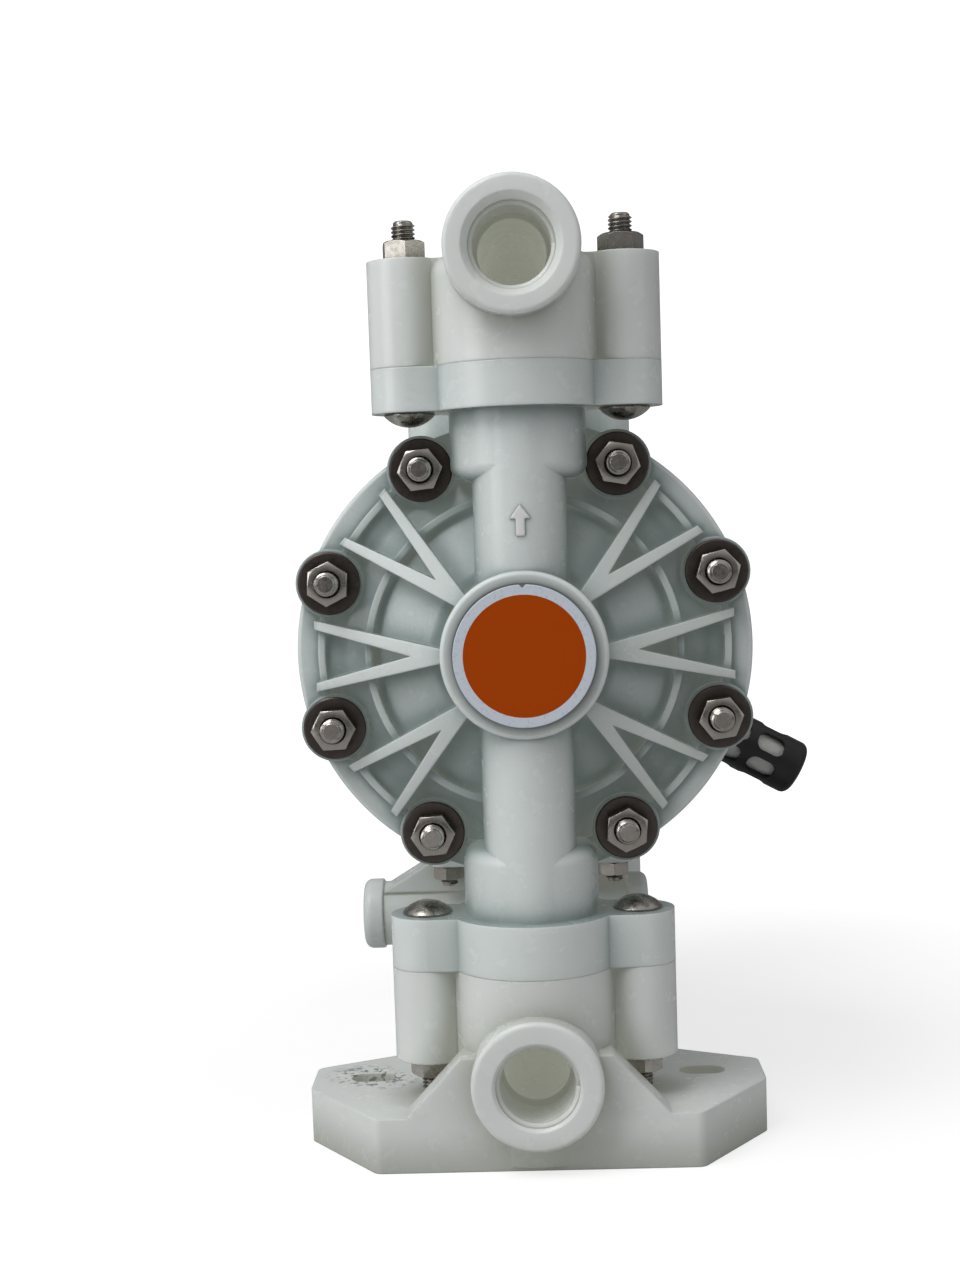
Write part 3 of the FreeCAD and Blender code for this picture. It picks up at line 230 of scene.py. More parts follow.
class PumpPorts(bpy.types.PropertyGroup):
    """Threads inside the liquid and air ports."""

    pitch: FloatProperty(
        name="Pitch", description="Fourteen threads to the inch", default=1.814 * MM, min=0,
        unit="LENGTH",
    )
    depth: FloatProperty(
        name="Depth", description="Crest to root", default=1.05 * MM, min=0, unit="LENGTH",
    )
    radius: FloatProperty(
        name="Radius", description="Root of the liquid ports' thread", default=10.48 * MM,
        min=0, unit="LENGTH",
    )
    air_pitch: FloatProperty(
        name="Air pitch", description="Eighteen threads to the inch", default=1.411 * MM,
        min=0, unit="LENGTH",
    )
    air_depth: FloatProperty(
        name="Air depth", description="Crest to root", default=0.8 * MM, min=0, unit="LENGTH",
    )
    air_radius: FloatProperty(
        name="Air radius", description="Root of the air port's thread", default=6.58 * MM,
        min=0, unit="LENGTH",
    )


class PumpPlate(bpy.types.PropertyGroup):
    """The plain round plate in the front hub, and the arrow on the riser."""

    radius: FloatProperty(
        name="Radius", description="Round plate", default=17.5 * MM, min=0, unit="LENGTH",
    )
    field: FloatProperty(
        name="Field radius", description="Orange field", default=15.0 * MM, min=0,
        unit="LENGTH",
    )
    thickness: FloatProperty(
        name="Thickness", description="Round plate", default=0.5 * MM, min=0, unit="LENGTH",
    )
    notch: FloatProperty(
        name="Notch", description="Depth of the small notch at the plate's top",
        default=0.9 * MM, min=0, unit="LENGTH",
    )
    orange: FloatVectorProperty(
        name="Field", description="Colour of the field", subtype="COLOR", size=3, min=0, max=1,
        default=(0.49, 0.066, 0.0),
    )
    rim: FloatVectorProperty(
        name="Rim", description="Colour of the pale rim", subtype="COLOR", size=3, min=0, max=1,
        default=(0.72, 0.78, 0.87),
    )
    arrow_length: FloatProperty(
        name="Arrow length", description="Flow arrow on the riser", default=8.0 * MM, min=0,
        unit="LENGTH",
    )
    arrow_width: FloatProperty(
        name="Arrow width", description="Flow arrow on the riser", default=5.4 * MM, min=0,
        unit="LENGTH",
    )
    arrow_relief: FloatProperty(
        name="Arrow relief", description="How far the arrow stands proud", default=0.4 * MM,
        min=0, unit="LENGTH",
    )
    arrow_height: FloatProperty(
        name="Arrow height", description="Arrow's middle above the shaft", default=33.0 * MM,
        unit="LENGTH",
    )


class PumpStage(bpy.types.PropertyGroup):
    """Camera, lights and floor."""

    camera_place: FloatVectorProperty(
        name="Camera", description="Where the camera stands", subtype="TRANSLATION", size=3,
        default=(0.0011, -0.5285, 0.1616),
    )
    camera_turn: FloatVectorProperty(
        name="Camera turn", description="Turn from straight ahead, as a rotation vector",
        size=3, default=(0.0932, -0.0326, -0.0314),
    )
    lens: FloatProperty(
        name="Lens", description="Focal length in millimetres on a 36 mm side", default=50.57,
        min=1,
    )
    shift: FloatVectorProperty(
        name="Shift", description="Sensor shift", size=2, default=(0.0072, 0.0395),
    )
    key: FloatProperty(name="Key light", description="Watts, soft box above left", default=4.5)
    fill: FloatProperty(name="Fill light", description="Watts, front left", default=1.7)
    side: FloatProperty(name="Side light", description="Watts, front right", default=0.3)
    air: FloatProperty(name="Room light", description="Strength of the room", default=0.33)


# Mesh helpers


def set_down(bm, place):
    """Turns the fresh faces outwards, moves them to their place and marks them as done."""
    fresh = [f for f in bm.faces if not f.tag]
    bmesh.ops.recalc_face_normals(bm, faces=fresh)
    bmesh.ops.transform(bm, matrix=place, verts=list({v for f in fresh for v in f.verts}))
    for face in fresh:
        face.tag = True


def revolve(bm, profile, steps, place=ALONG_Z):
    """A closed turned form. The profile's points are (radius, height). Its ends lie on the axis,
    or else an edge of its own joins them."""
    verts = [bm.verts.new((r, 0, z)) for r, z in profile]
    edges = [bm.edges.new(pair) for pair in zip(verts, verts[1:])]
    if profile[0][0] > 0 and profile[-1][0] > 0:
        edges.append(bm.edges.new((verts[-1], verts[0])))
    bmesh.ops.spin(
        bm, geom=verts + edges, cent=(0, 0, 0), axis=(0, 0, 1), angle=2 * math.pi, steps=steps,
        use_merge=True,
    )
    made = list({v for f in bm.faces if not f.tag for v in f.verts})
    bmesh.ops.remove_doubles(bm, verts=made, dist=1e-7)
    set_down(bm, place)


def helix(bm, root, crest, pitch, low, high, per_turn, place=ALONG_Z):
    """A thread's ridge between two heights, with its ends closed. Its foot sinks a little into
    the wall it stands on."""
    turns = (high - low) / pitch - 1
    steps = max(2, round(turns * per_turn))
    sunk = root + (root - crest) * 0.06
    foot, land = pitch * 0.46, pitch * 0.06
    middle = low + pitch / 2
    profile = [
        (sunk, middle - foot),
        (crest, middle - land),
        (crest, middle + land),
        (sunk, middle + foot),
    ]
    verts = [bm.verts.new((r, 0, z)) for r, z in profile]
    edges = [bm.edges.new(pair) for pair in zip(verts, verts[1:] + verts[:1])]
    bmesh.ops.spin(
        bm, geom=verts + edges, cent=(0, 0, 0), axis=(0, 0, 1), angle=2 * math.pi * turns,
        steps=steps, dvec=(0, 0, pitch * turns / steps),
    )
    fresh = {e for f in bm.faces if not f.tag for e in f.edges}
    ends = [e for e in fresh if len(e.link_faces) == 1]
    bmesh.ops.holes_fill(bm, edges=ends, sides=8)
    set_down(bm, place)


def skin(bm, loops):
    """Faces between closed loops of equally many points, the last joined to the first."""
    rings = [[bm.verts.new(p) for p in loop] for loop in loops]
    for here, there in zip(rings, rings[1:] + rings[:1]):
        for i in range(len(here)):
            j = (i + 1) % len(here)
            bm.faces.new((here[i], here[j], there[j], there[i]))
    set_down(bm, ALONG_Z)


def circle(radius, height):
    """A level loop round the z axis."""
    return [(radius * math.cos(a), radius * math.sin(a), height) for a in RING]


def hexagon_loop(across, height, away):
    """A loop round a hexagon's sides. A thirty degree cone cuts its corners back, upwards where
    away is 1 and downwards where it is -1. At 0 the loop is level."""
    loop = []
    for angle in RING:
        reach = across / 2 / math.cos(math.fmod(angle, math.pi / 3) - math.pi / 6)
        drop = (reach - across * CHAMFER_START) * math.tan(math.radians(30))
        loop.append((reach * math.cos(angle), reach * math.sin(angle), height + away * drop))
    return loop


def solids(node):
    """The lowest and highest corners of each loose solid of a CAD node, in a fixed order."""
    mesh = frame["nodes"][node].data
    owner = {}

    def find(key):
        while owner[key] != key:
            owner[key] = owner[owner[key]]
            key = owner[key]
        return key

    keys = [tuple(round(c, 6) for c in v.co) for v in mesh.vertices]
    for key in keys:
        owner.setdefault(key, key)
    for edge in mesh.edges:
        a, b = find(keys[edge.vertices[0]]), find(keys[edge.vertices[1]])
        owner[a] = b
    groups = {}
    for key in keys:
        groups.setdefault(find(key), []).append(key)
    found = [
        tuple(Vector(pick(p[i] for p in points) for i in range(3)) for pick in (min, max))
        for points in groups.values()
    ]
    return sorted(found, key=lambda box: tuple(round(c, 4) for c in box[0]))


def piece(name, bm, materials, body, replaced=()):
    """Turns a bmesh into a finished object that rides on a body."""
    mesh = bpy.data.meshes.new(name)
    for face in bm.faces:
        face.smooth = True
    bm.to_mesh(mesh)
    bm.free()
    mesh.set_sharp_from_angle(angle=CREASE)
    obj = bpy.data.objects.new(name, mesh)
    bpy.context.scene.collection.objects.link(obj)
    for material in materials:
        mesh.materials.append(material)
    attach(obj, body)
    if replaced:
        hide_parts(*replaced)


# Shader groups


def new_group(name, inputs, outputs):
    """An empty shader group with its sockets. Inputs are (name, value), and all are numbers."""
    group = bpy.data.node_groups.new(name, "ShaderNodeTree")
    for label, value in inputs:
        socket = group.interface.new_socket(
            label, in_out="INPUT", socket_type="NodeSocketFloat"
        )
        socket.default_value = value
    for label, kind in outputs:
        group.interface.new_socket(label, in_out="OUTPUT", socket_type=kind)
    return group


def add(tree, kind, values=None, **settings):
    """A node with its settings and its sockets' constants."""
    node = tree.nodes.new(kind)
    for name, value in settings.items():
        setattr(node, name, value)
    for name, value in (values or {}).items():
        node.inputs[name].default_value = value
    return node


def speckle_group():
    """Noise in the object's own coordinates, stretched between two levels."""
    group = new_group(
        "Object noise",
        [("Scale", 100.0), ("Detail", 3.0), ("Low", 0.35), ("High", 0.65)],
        [("Mask", "NodeSocketFloat")],
    )
    link = group.links.new
    entry, leave = add(group, "NodeGroupInput"), add(group, "NodeGroupOutput")
    where = add(group, "ShaderNodeTexCoord")
    noise = add(group, "ShaderNodeTexNoise")
    stretch = add(group, "ShaderNodeMapRange")
    link(where.outputs["Object"], noise.inputs["Vector"])
    link(entry.outputs["Scale"], noise.inputs["Scale"])
    link(entry.outputs["Detail"], noise.inputs["Detail"])
    link(noise.outputs["Fac"], stretch.inputs["Value"])
    link(entry.outputs["Low"], stretch.inputs["From Min"])
    link(entry.outputs["High"], stretch.inputs["From Max"])
    link(stretch.outputs["Result"], leave.inputs["Mask"])
    return group


def surface_group():
    """The normal of a real surface: softened edges, a fine grain and a faint unevenness."""
    group = new_group(
        "Surface normal",
        [
            ("Edge", 0.7 * MM),
            ("Grain scale", 2400.0),
            ("Grain depth", 0.02 * MM),
            ("Wave scale", 90.0),
            ("Wave depth", 0.05 * MM),
        ],
        [("Normal", "NodeSocketVector")],
    )
    link = group.links.new
    entry, leave = add(group, "NodeGroupInput"), add(group, "NodeGroupOutput")
    where = add(group, "ShaderNodeTexCoord")
    round_edge = add(group, "ShaderNodeBevel", samples=6)
    link(entry.outputs["Edge"], round_edge.inputs["Radius"])
    normal = round_edge.outputs["Normal"]
    for name, detail in (("Wave", 1.0), ("Grain", 2.0)):
        noise = add(group, "ShaderNodeTexNoise", {"Detail": detail})
        bump = add(group, "ShaderNodeBump", {"Strength": 1.0})
        link(where.outputs["Object"], noise.inputs["Vector"])
        link(entry.outputs[f"{name} scale"], noise.inputs["Scale"])
        link(noise.outputs["Fac"], bump.inputs["Height"])
        link(entry.outputs[f"{name} depth"], bump.inputs["Distance"])
        link(normal, bump.inputs["Normal"])
        normal = bump.outputs["Normal"]
    link(normal, leave.inputs["Normal"])
    return group


def hollow_group():
    """A mask that is 1 in a hollow and 0 on open skin."""
    group = new_group(
        "Hollow mask",
        [("Distance", 8 * MM), ("Start", 0.95), ("Full", 0.35)],
        [("Mask", "NodeSocketFloat")],
    )
    link = group.links.new
    entry, leave = add(group, "NodeGroupInput"), add(group, "NodeGroupOutput")
    shade = add(group, "ShaderNodeAmbientOcclusion", samples=6)
    stretch = add(group, "ShaderNodeMapRange")
    link(entry.outputs["Distance"], shade.inputs["Distance"])
    link(shade.outputs["AO"], stretch.inputs["Value"])
    link(entry.outputs["Start"], stretch.inputs["From Min"])
    link(entry.outputs["Full"], stretch.inputs["From Max"])
    link(stretch.outputs["Result"], leave.inputs["Mask"])
    return group


def add_group(tree, name, values):
    """A node of a shared shader group, which is made when it is first needed."""
    makers = {
        "Object noise": speckle_group,
        "Surface normal": surface_group,
        "Hollow mask": hollow_group,
    }
    group = bpy.data.node_groups.get(name) or makers[name]()
    return add(tree, "ShaderNodeGroup", values, node_tree=group)


# Finishes


def fresh_material(name):
    """A material with an unlinked Principled shader, and its tree and shader."""
    material = bpy.data.materials.new(f"pump_{name}")
    material.use_nodes = True
    tree = material.node_tree
    shader = next(n for n in tree.nodes if n.type == "BSDF_PRINCIPLED")
    return material, tree, shader


def rgba(colour):
    """A colour with full cover, as a socket takes it."""
    return (*colour, 1.0)


def scaled(colour, factor):
    """A lighter or darker tone of a colour."""
    return tuple(min(1.0, c * factor) for c in colour)


def noise_mask(tree, scale, detail, low=0.35, high=0.65):
    """Where the object's noise is high, as a socket."""
    values = {"Scale": scale, "Detail": detail, "Low": low, "High": high}
    return add_group(tree, "Object noise", values).outputs["Mask"]


def hollow_mask(tree, distance, start=0.95, full=0.35):
    """Where other walls stand close by, as a socket."""
    values = {"Distance": distance, "Start": start, "Full": full}
    return add_group(tree, "Hollow mask", values).outputs["Mask"]


def times(tree, first, second):
    """The product of a socket and a number, or of two sockets."""
    node = add(tree, "ShaderNodeMath", operation="MULTIPLY")
    tree.links.new(first, node.inputs[0])
    if isinstance(second, bpy.types.NodeSocket):
        tree.links.new(second, node.inputs[1])
    else:
        node.inputs[1].default_value = second
    return node.outputs["Value"]


def stretched(tree, value, ends):
    """A socket's value, taken from one range to another."""
    node = add(tree, "ShaderNodeMapRange", ends)
    tree.links.new(value, node.inputs["Value"])
    return node.outputs["Result"]


def blend_colours(tree, mask, first, second):
    """first where the mask is 0, second where it is 1. Either is a colour or a socket."""
    mix = add(tree, "ShaderNodeMix", data_type="RGBA")
    tree.links.new(mask, mix.inputs["Factor"])
    for socket, value in ((mix.inputs[6], first), (mix.inputs[7], second)):
        if isinstance(value, bpy.types.NodeSocket):
            tree.links.new(value, socket)
        else:
            socket.default_value = rgba(value)
    return mix.outputs[2]


def vary_roughness(tree, shader, mask, low, high):
    """Roughness between two values, as a mask says."""
    rough = stretched(tree, mask, {"To Min": low, "To Max": high})
    tree.links.new(rough, shader.inputs["Roughness"])


def shape_normal(tree, shader, values):
    """Soft edges, grain and unevenness for a shader."""
    normal = add_group(tree, "Surface normal", values)
    tree.links.new(normal.outputs["Normal"], shader.inputs["Normal"])


def milky_plastic(name, colour, recess_shade_colour, depth, scuffs=()):
    """Unpigmented plastic: a painted bluish shade in its hollows, pale edges, a painted glow in
    deep hollows and faint clouds.
    """
    look = bpy.context.scene.pump_plastic
    material, tree, shader = fresh_material(name)
    tone = blend_colours(tree, noise_mask(tree, 34.0, 2.0), colour, scaled(colour, 1.045))
    # Painted shade: the tone turns to the shade colour where other walls stand close.
    tone = blend_colours(tree, hollow_mask(tree, depth, 0.99, 0.60), tone, recess_shade_colour)
    if scuffs:
        tone = scuffed(tree, tone, scuffs)
    tree.links.new(tone, shader.inputs["Base Color"])
    # Painted light: an emission that grows in deep hollows.
    through = times(tree, hollow_mask(tree, 40 * MM, 0.50, 0.12), look.glow)
    tree.links.new(through, shader.inputs["Emission Strength"])
    shader.inputs["Emission Color"].default_value = rgba(look.painted_glow_colour)
    gloss = noise_mask(tree, 210.0, 4.0, 0.3, 0.7)
    vary_roughness(tree, shader, gloss, look.roughness - 0.05, look.roughness + 0.08)
    shape_normal(tree, shader, {"Edge": look.edge, "Grain depth": look.grain})
    shader.inputs["Subsurface Weight"].default_value = look.milk
    shader.inputs["Subsurface Scale"].default_value = look.scatter
    shader.inputs["Subsurface Radius"].default_value = (1.0, 1.05, 1.0)
    shader.inputs["IOR"].default_value = 1.49
    return material


def scuffed(tree, tone, places):
    """Dark rub marks round some places."""
    where = add(tree, "ShaderNodeTexCoord")
    marks = noise_mask(tree, 620.0, 6.0, 0.53, 0.60)
    for x, y, z, reach in places:
        away = add(tree, "ShaderNodeVectorMath", {1: (x, y, z)}, operation="DISTANCE")
        tree.links.new(where.outputs["Object"], away.inputs[0])
        fade = {"From Min": reach * 0.5, "From Max": reach, "To Min": 0.75, "To Max": 0.0}
        near = stretched(tree, away.outputs["Value"], fade)
        tone = blend_colours(tree, times(tree, near, marks), tone, (0.10, 0.105, 0.115))
    return tone


def foot_marks():
    """Where bolt heads rubbed the foot's top: places, each with the reach of its marks."""
    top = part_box("inlet_manifold")[0].z + FOOT_THICK
    return [(-0.047, -0.055, top, 0.011), (-0.040, -0.060, top, 0.009)]


def steel(name, colour, roughness, stain=0.35):
    """Steel with brushed gloss, stains, soft edges and painted shade in its hollows."""
    material, tree, shader = fresh_material(name)
    stains = times(tree, noise_mask(tree, 260.0, 5.0, 0.42, 0.75), stain)
    tone = blend_colours(tree, stains, colour, scaled(colour, 0.55))
    # Painted shade: much darker where other walls stand close, in the corners and threads.
    tone = blend_colours(tree, hollow_mask(tree, 2.5 * MM), tone, scaled(colour, 0.40))
    tree.links.new(tone, shader.inputs["Base Color"])
    streaks = noise_mask(tree, 900.0, 3.0, 0.3, 0.7)
    vary_roughness(tree, shader, streaks, roughness - 0.05, roughness + 0.12)
    shape_normal(
        tree, shader,
        {"Edge": 0.25 * MM, "Grain scale": 3200.0, "Grain depth": 0.008 * MM, "Wave scale": 300.0,
         "Wave depth": 0.012 * MM},
    )
    shader.inputs["Metallic"].default_value = 1.0
    return material


def plain_plastic(name, colour, roughness, grain=0.04 * MM, sheen=0.0):
    """Pigmented plastic, rubber or felt: a grain, a worn tone and a dusty sheen."""
    material, tree, shader = fresh_material(name)
    wear = noise_mask(tree, 150.0, 5.0, 0.4, 0.8)
    tone = blend_colours(tree, wear, colour, scaled(colour, 0.86))
    tree.links.new(tone, shader.inputs["Base Color"])
    vary_roughness(tree, shader, wear, roughness - 0.04, roughness + 0.08)
    shape_normal(
        tree, shader,
        {"Edge": 0.4 * MM, "Grain scale": 1500.0, "Grain depth": grain, "Wave depth": 0.02 * MM},
    )
    shader.inputs["Sheen Weight"].default_value = sheen
    return material


def matt_print(name, colour, roughness, speck):
    """Matt print on a thin plastic disc, with fine specks of wear."""
    material, tree, shader = fresh_material(name)
    specks = times(tree, noise_mask(tree, 1500.0, 4.0, 0.56, 0.68), speck)
    tone = blend_colours(tree, specks, colour, scaled(colour, 0.6))
    tree.links.new(tone, shader.inputs["Base Color"])
    shape_normal(
        tree, shader,
        {"Edge": 0.15 * MM, "Grain depth": 0.01 * MM, "Wave scale": 120.0,
         "Wave depth": 0.03 * MM},
    )
    shader.inputs["Roughness"].default_value = roughness
    shader.inputs["Specular IOR Level"].default_value = 0.12
    return material


def finish(name):
    """The finish of that name, made when it is first needed."""
    made = bpy.data.materials.get(f"pump_{name}")
    if made:
        return made
    scene = bpy.context.scene
    plastic, metal, plate = scene.pump_plastic, scene.pump_metal, scene.pump_plate
    cover, manifold, deep_shade = plastic.cover_colour, plastic.manifold_colour, plastic.deep_shade_colour
    recipes = {
        # The second colour of each milky plastic is the painted shade for its hollows.
        "cover_plastic": (milky_plastic, cover, plastic.recess_shade_colour, 30 * MM),
        # Painted highlight: the arrow is the cover's plastic made a quarter lighter, with the
        # cover's own tone as the painted shade in its hollows.
        "arrow_plastic": (milky_plastic, scaled(cover, 1.25), cover, 2 * MM),
        "manifold_plastic": (milky_plastic, manifold, deep_shade, 12 * MM),
        "foot_plastic": (milky_plastic, manifold, deep_shade, 12 * MM, foot_marks()),
        "centre_plastic": (milky_plastic, plastic.centre_colour, deep_shade, 12 * MM),
        "stainless": (steel, metal.bright_colour, metal.roughness),
        "cover_steel": (steel, metal.dull_colour, 0.17),
        "washer_steel": (steel, metal.washer_colour, 0.30, 0.5),
        "shaft_steel": (steel, (0.60, 0.60, 0.60), 0.16, 0.1),
        "plate_metal": (steel, (0.62, 0.63, 0.64), 0.36, 0.15),
        "black_plastic": (plain_plastic, (0.012, 0.012, 0.013), 0.40),
        "felt": (plain_plastic, (0.78, 0.78, 0.76), 0.92, 0.3 * MM, 0.4),
        "seal_rubber": (plain_plastic, (0.02, 0.02, 0.02), 0.55),
        "diaphragm": (plain_plastic, (0.80, 0.80, 0.78), 0.42),
        "plate_plastic": (plain_plastic, (0.66, 0.67, 0.66), 0.38),
        "bush_plastic": (plain_plastic, (0.52, 0.50, 0.42), 0.45),
        "seat_plastic": (plain_plastic, (0.74, 0.74, 0.71), 0.40),
        "ball": (plain_plastic, (0.82, 0.82, 0.80), 0.24, 0.005 * MM),
        "plate_field": (matt_print, plate.orange, 0.38, 0.03),
        "plate_rim": (matt_print, plate.rim, 0.42, 0.35),
    }
    maker, *values = recipes[name]
    return maker(name, *values)


# Nuts, bolts and washers


def threaded_rod(bm, radius, depth, pitch, low, high, threaded):
    """A bolt's shank. The thread ends in a small cone at its high end."""
    root = radius - depth
    bare = high - threaded
    tip = depth * 1.2
    profile = [
        (0, low),
        (radius * 0.98, low),
        (radius * 0.98, bare - depth),
        (root, bare),
        (root, high - tip * 0.6),
        (root - tip * 0.6, high),
        (0, high),
    ]
    revolve(bm, profile, 36)
    helix(bm, root, radius, pitch, bare - pitch * 0.6, high - tip * 0.3, 28)


def washer_shape(hole, radius, thick):
    """A pressed washer: a soft upper rim, and a small lead into its hole."""
    ease = 0.2 * MM
    soft = ease * 1.6
    bm = bmesh.new()
    profile = [
        (hole, ease), (hole + ease, 0), (radius - ease, 0), (radius, ease),
        (radius, thick - soft), (radius - soft, thick), (hole + ease, thick), (hole, thick - ease),
    ]
    revolve(bm, profile, 64)
    return bm


def nut_shape(across, thick, bolt_radius):
    """A nut with both its faces chamfered, and with a lead into its hole."""
    hole = bolt_radius + 0.02 * MM
    lead = hole * 1.14
    flat = across * CHAMFER_START
    bm = bmesh.new()
    skin(bm, [
        circle(lead, 0), circle(flat, 0), hexagon_loop(across, 0, 1),
        hexagon_loop(across, thick, -1), circle(flat, thick), circle(lead, thick),
        circle(hole, thick - (lead - hole)), circle(hole, lead - hole),
    ])
    return bm


def hexagon_bolt_shape(across, head, radius, depth, pitch, length, threaded):
    """A bolt that points along its z axis, with the top of its head at the origin."""
    hub = across * 0.02
    bm = bmesh.new()
    skin(bm, [
        circle(hub, 0), circle(across * CHAMFER_START, 0), hexagon_loop(across, 0, 1),
        hexagon_loop(across, head, 0), circle(hub, head),
    ])
    threaded_rod(bm, radius, depth, pitch, head * 0.5, length, threaded)
    return bm


def dome_profile(radius, rise, steps=14):
    """A round head over its flat: a thin rim, then a shallow dome."""
    rim = rise * 0.16
    ball = (radius * radius + (rise - rim) ** 2) / (2 * (rise - rim))
    points = [(0, 0), (radius - rim * 0.3, 0), (radius, rim * 0.4)]
    for i in range(steps + 1):
        reach = radius * (1 - i / steps)
        points.append((reach, rise - ball + math.sqrt(ball * ball - reach * reach)))
    return points


def round_bolt_shape(sizes, length):
    """A bolt that points along its z axis, with its round head below the origin."""
    rise = sizes.dome_rise
    bm = bmesh.new()
    revolve(bm, dome_profile(sizes.dome_radius, rise), 64, OVER)
    threaded_rod(
        bm, sizes.bolt_radius, sizes.thread_depth, sizes.pitch, -rise * 0.3, length - rise,
        sizes.threaded,
    )
    return bm


def seats(node, axis, end, turn, chance):
    """A place on each of a node's solids, at its low or high end along an axis, and turned at
    random as the piece was tightened."""
    found = []
    for low, high in solids(node):
        at = (low + high) / 2
        at[axis] = (low if end == "low" else high)[axis]
        twist = Matrix.Rotation(chance.uniform(0, math.pi / 3), 4, "Z")
        found.append(Matrix.Translation(at) @ turn @ twist)
    return found


def reach_of(node, axis):
    """How long a node's solids are along an axis."""
    low, high = solids(node)[0]
    return high[axis] - low[axis]


def stamped(name, shape, places, material, replaced):
    """Copies of one finished form at several places, as one object that stands for a CAD node."""
    mesh = bpy.data.meshes.new("stamp")
    shape.to_mesh(mesh)
    shape.free()
    bm = bmesh.new()
    for place in places:
        first = len(bm.verts)
        bm.from_mesh(mesh)
        bm.verts.ensure_lookup_table()
        bmesh.ops.transform(bm, matrix=place, verts=bm.verts[first:])
    bpy.data.meshes.remove(mesh)
    piece(name, bm, [finish(material)], "pump", [replaced])


def cover_hardware(side, outwards):
    """Washers, nuts and bolts on one cover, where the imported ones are."""
    sizes = bpy.context.scene.pump_hardware
    chance = random.Random(sizes.seed + (side == "rear"))
    turn = ALONG_Y if outwards > 0 else ALONG_Y @ OVER
    end = "low" if outwards > 0 else "high"
    washers, nuts, bolts = (f"{side}_cover_{kind}" for kind in ("washers", "nuts", "bolts"))
    washer = washer_shape(sizes.washer_hole, sizes.washer_radius, reach_of(washers, 1))
    places = seats(washers, 1, end, turn, chance)
    stamped(f"{side}_washers", washer, places, "washer_steel", washers)
    nut = nut_shape(sizes.across, reach_of(nuts, 1), sizes.bolt_radius)
    places = seats(nuts, 1, end, turn, chance)
    stamped(f"{side}_nuts", nut, places, "cover_steel", nuts)
    bolt = hexagon_bolt_shape(
        sizes.across, sizes.head, sizes.bolt_radius, sizes.thread_depth, sizes.pitch,
        reach_of(bolts, 1), sizes.threaded,
    )
    places = seats(bolts, 1, end, turn, chance)
    stamped(f"{side}_bolts", bolt, places, "cover_steel", bolts)


def manifold_hardware(end, upwards):
    """Round-headed bolts and their nuts on one manifold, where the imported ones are."""
    sizes = bpy.context.scene.pump_hardware
    chance = random.Random(sizes.seed + 20 + (end == "inlet"))
    nuts, bolts = f"{end}_manifold_nuts", f"{end}_manifold_bolts"
    nut = nut_shape(sizes.across, reach_of(nuts, 2), sizes.bolt_radius)
    places = seats(nuts, 2, "low", ALONG_Z, chance)
    stamped(f"{end}_nuts", nut, places, "stainless", nuts)
    bolt = round_bolt_shape(sizes, reach_of(bolts, 2))
    lift = Matrix.Translation((0, 0, sizes.dome_rise))
    places = seats(bolts, 2, "low" if upwards else "high", ALONG_Z if upwards else OVER, chance)
    places = [place @ lift for place in places]
    stamped(f"{end}_bolts", bolt, places, "stainless", bolts)


def valve_hardware():
    """Small bolts and nuts of the air valve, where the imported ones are."""
    sizes = bpy.context.scene.pump_hardware
    chance = random.Random(sizes.seed + 40)
    nut = nut_shape(sizes.small_across, reach_of("valve_nuts", 2), sizes.small_radius)
    places = seats("valve_nuts", 2, "low", ALONG_Z, chance)
    stamped("valve_small_nuts", nut, places, "cover_steel", "valve_nuts")
    bolt = hexagon_bolt_shape(
        sizes.small_across, sizes.small_head, sizes.small_radius, sizes.thread_depth * 0.85,
        sizes.pitch * 0.8, reach_of("valve_bolts", 2), sizes.threaded * 0.6,
    )
    places = seats("valve_bolts", 2, "high", OVER, chance)
    stamped("valve_small_bolts", bolt, places, "cover_steel", "valve_bolts")


# Ports, plate and arrow


def port_thread(port, material, slot_name, turn, radius, depth, pitch, short, per_turn):
    """A thread's ridges inside a port, from its mouth to a little short of its full length."""
    mount = next(m for m in frame["record"]["mounts"] if m["name"] == port)
    length = mount["dims"]["length_mm"] * MM
    place = Matrix.Translation(mount["pos_m"]) @ turn
    bm = bmesh.new()
    helix(bm, radius, radius - depth, pitch, 0.2 * MM, length - short, per_turn, place)
    piece(f"{port}_thread", bm, [finish(material)], "pump")


def axis_height():
    """Height of the shaft's axis."""
    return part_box("main_shaft")[0].z + SHAFT_RADIUS


def lay_plate(sizes):
    """The plain round plate in the hub, with a small notch at its top."""
    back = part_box("front_fluid_cover")[0].y + PLATE_INSET
    height = axis_height()
    place = Matrix.Translation((0, back, height)) @ ALONG_Y @ OVER
    ease, thick = 0.15 * MM, sizes.thickness
    profile = [
        (0, 0), (sizes.radius - ease, 0), (sizes.radius, ease), (sizes.radius, thick - ease),
        (sizes.radius - ease, thick), (sizes.field, thick), (0, thick),
    ]
    bm = bmesh.new()
    revolve(bm, profile, 128, place)
    for face in bm.faces:
        middle = face.calc_center_median()
        away = math.hypot(middle.x, middle.z - height)
        face.material_index = 0 if away > sizes.field else 1
    for vert in bm.verts:
        if abs(vert.co.x) < 0.2 * MM and vert.co.z - height > sizes.radius - 0.5 * MM:
            vert.co.z -= sizes.notch
    looks = [finish("plate_rim"), finish("plate_field")]
    piece("round_plate", bm, looks, "pump")


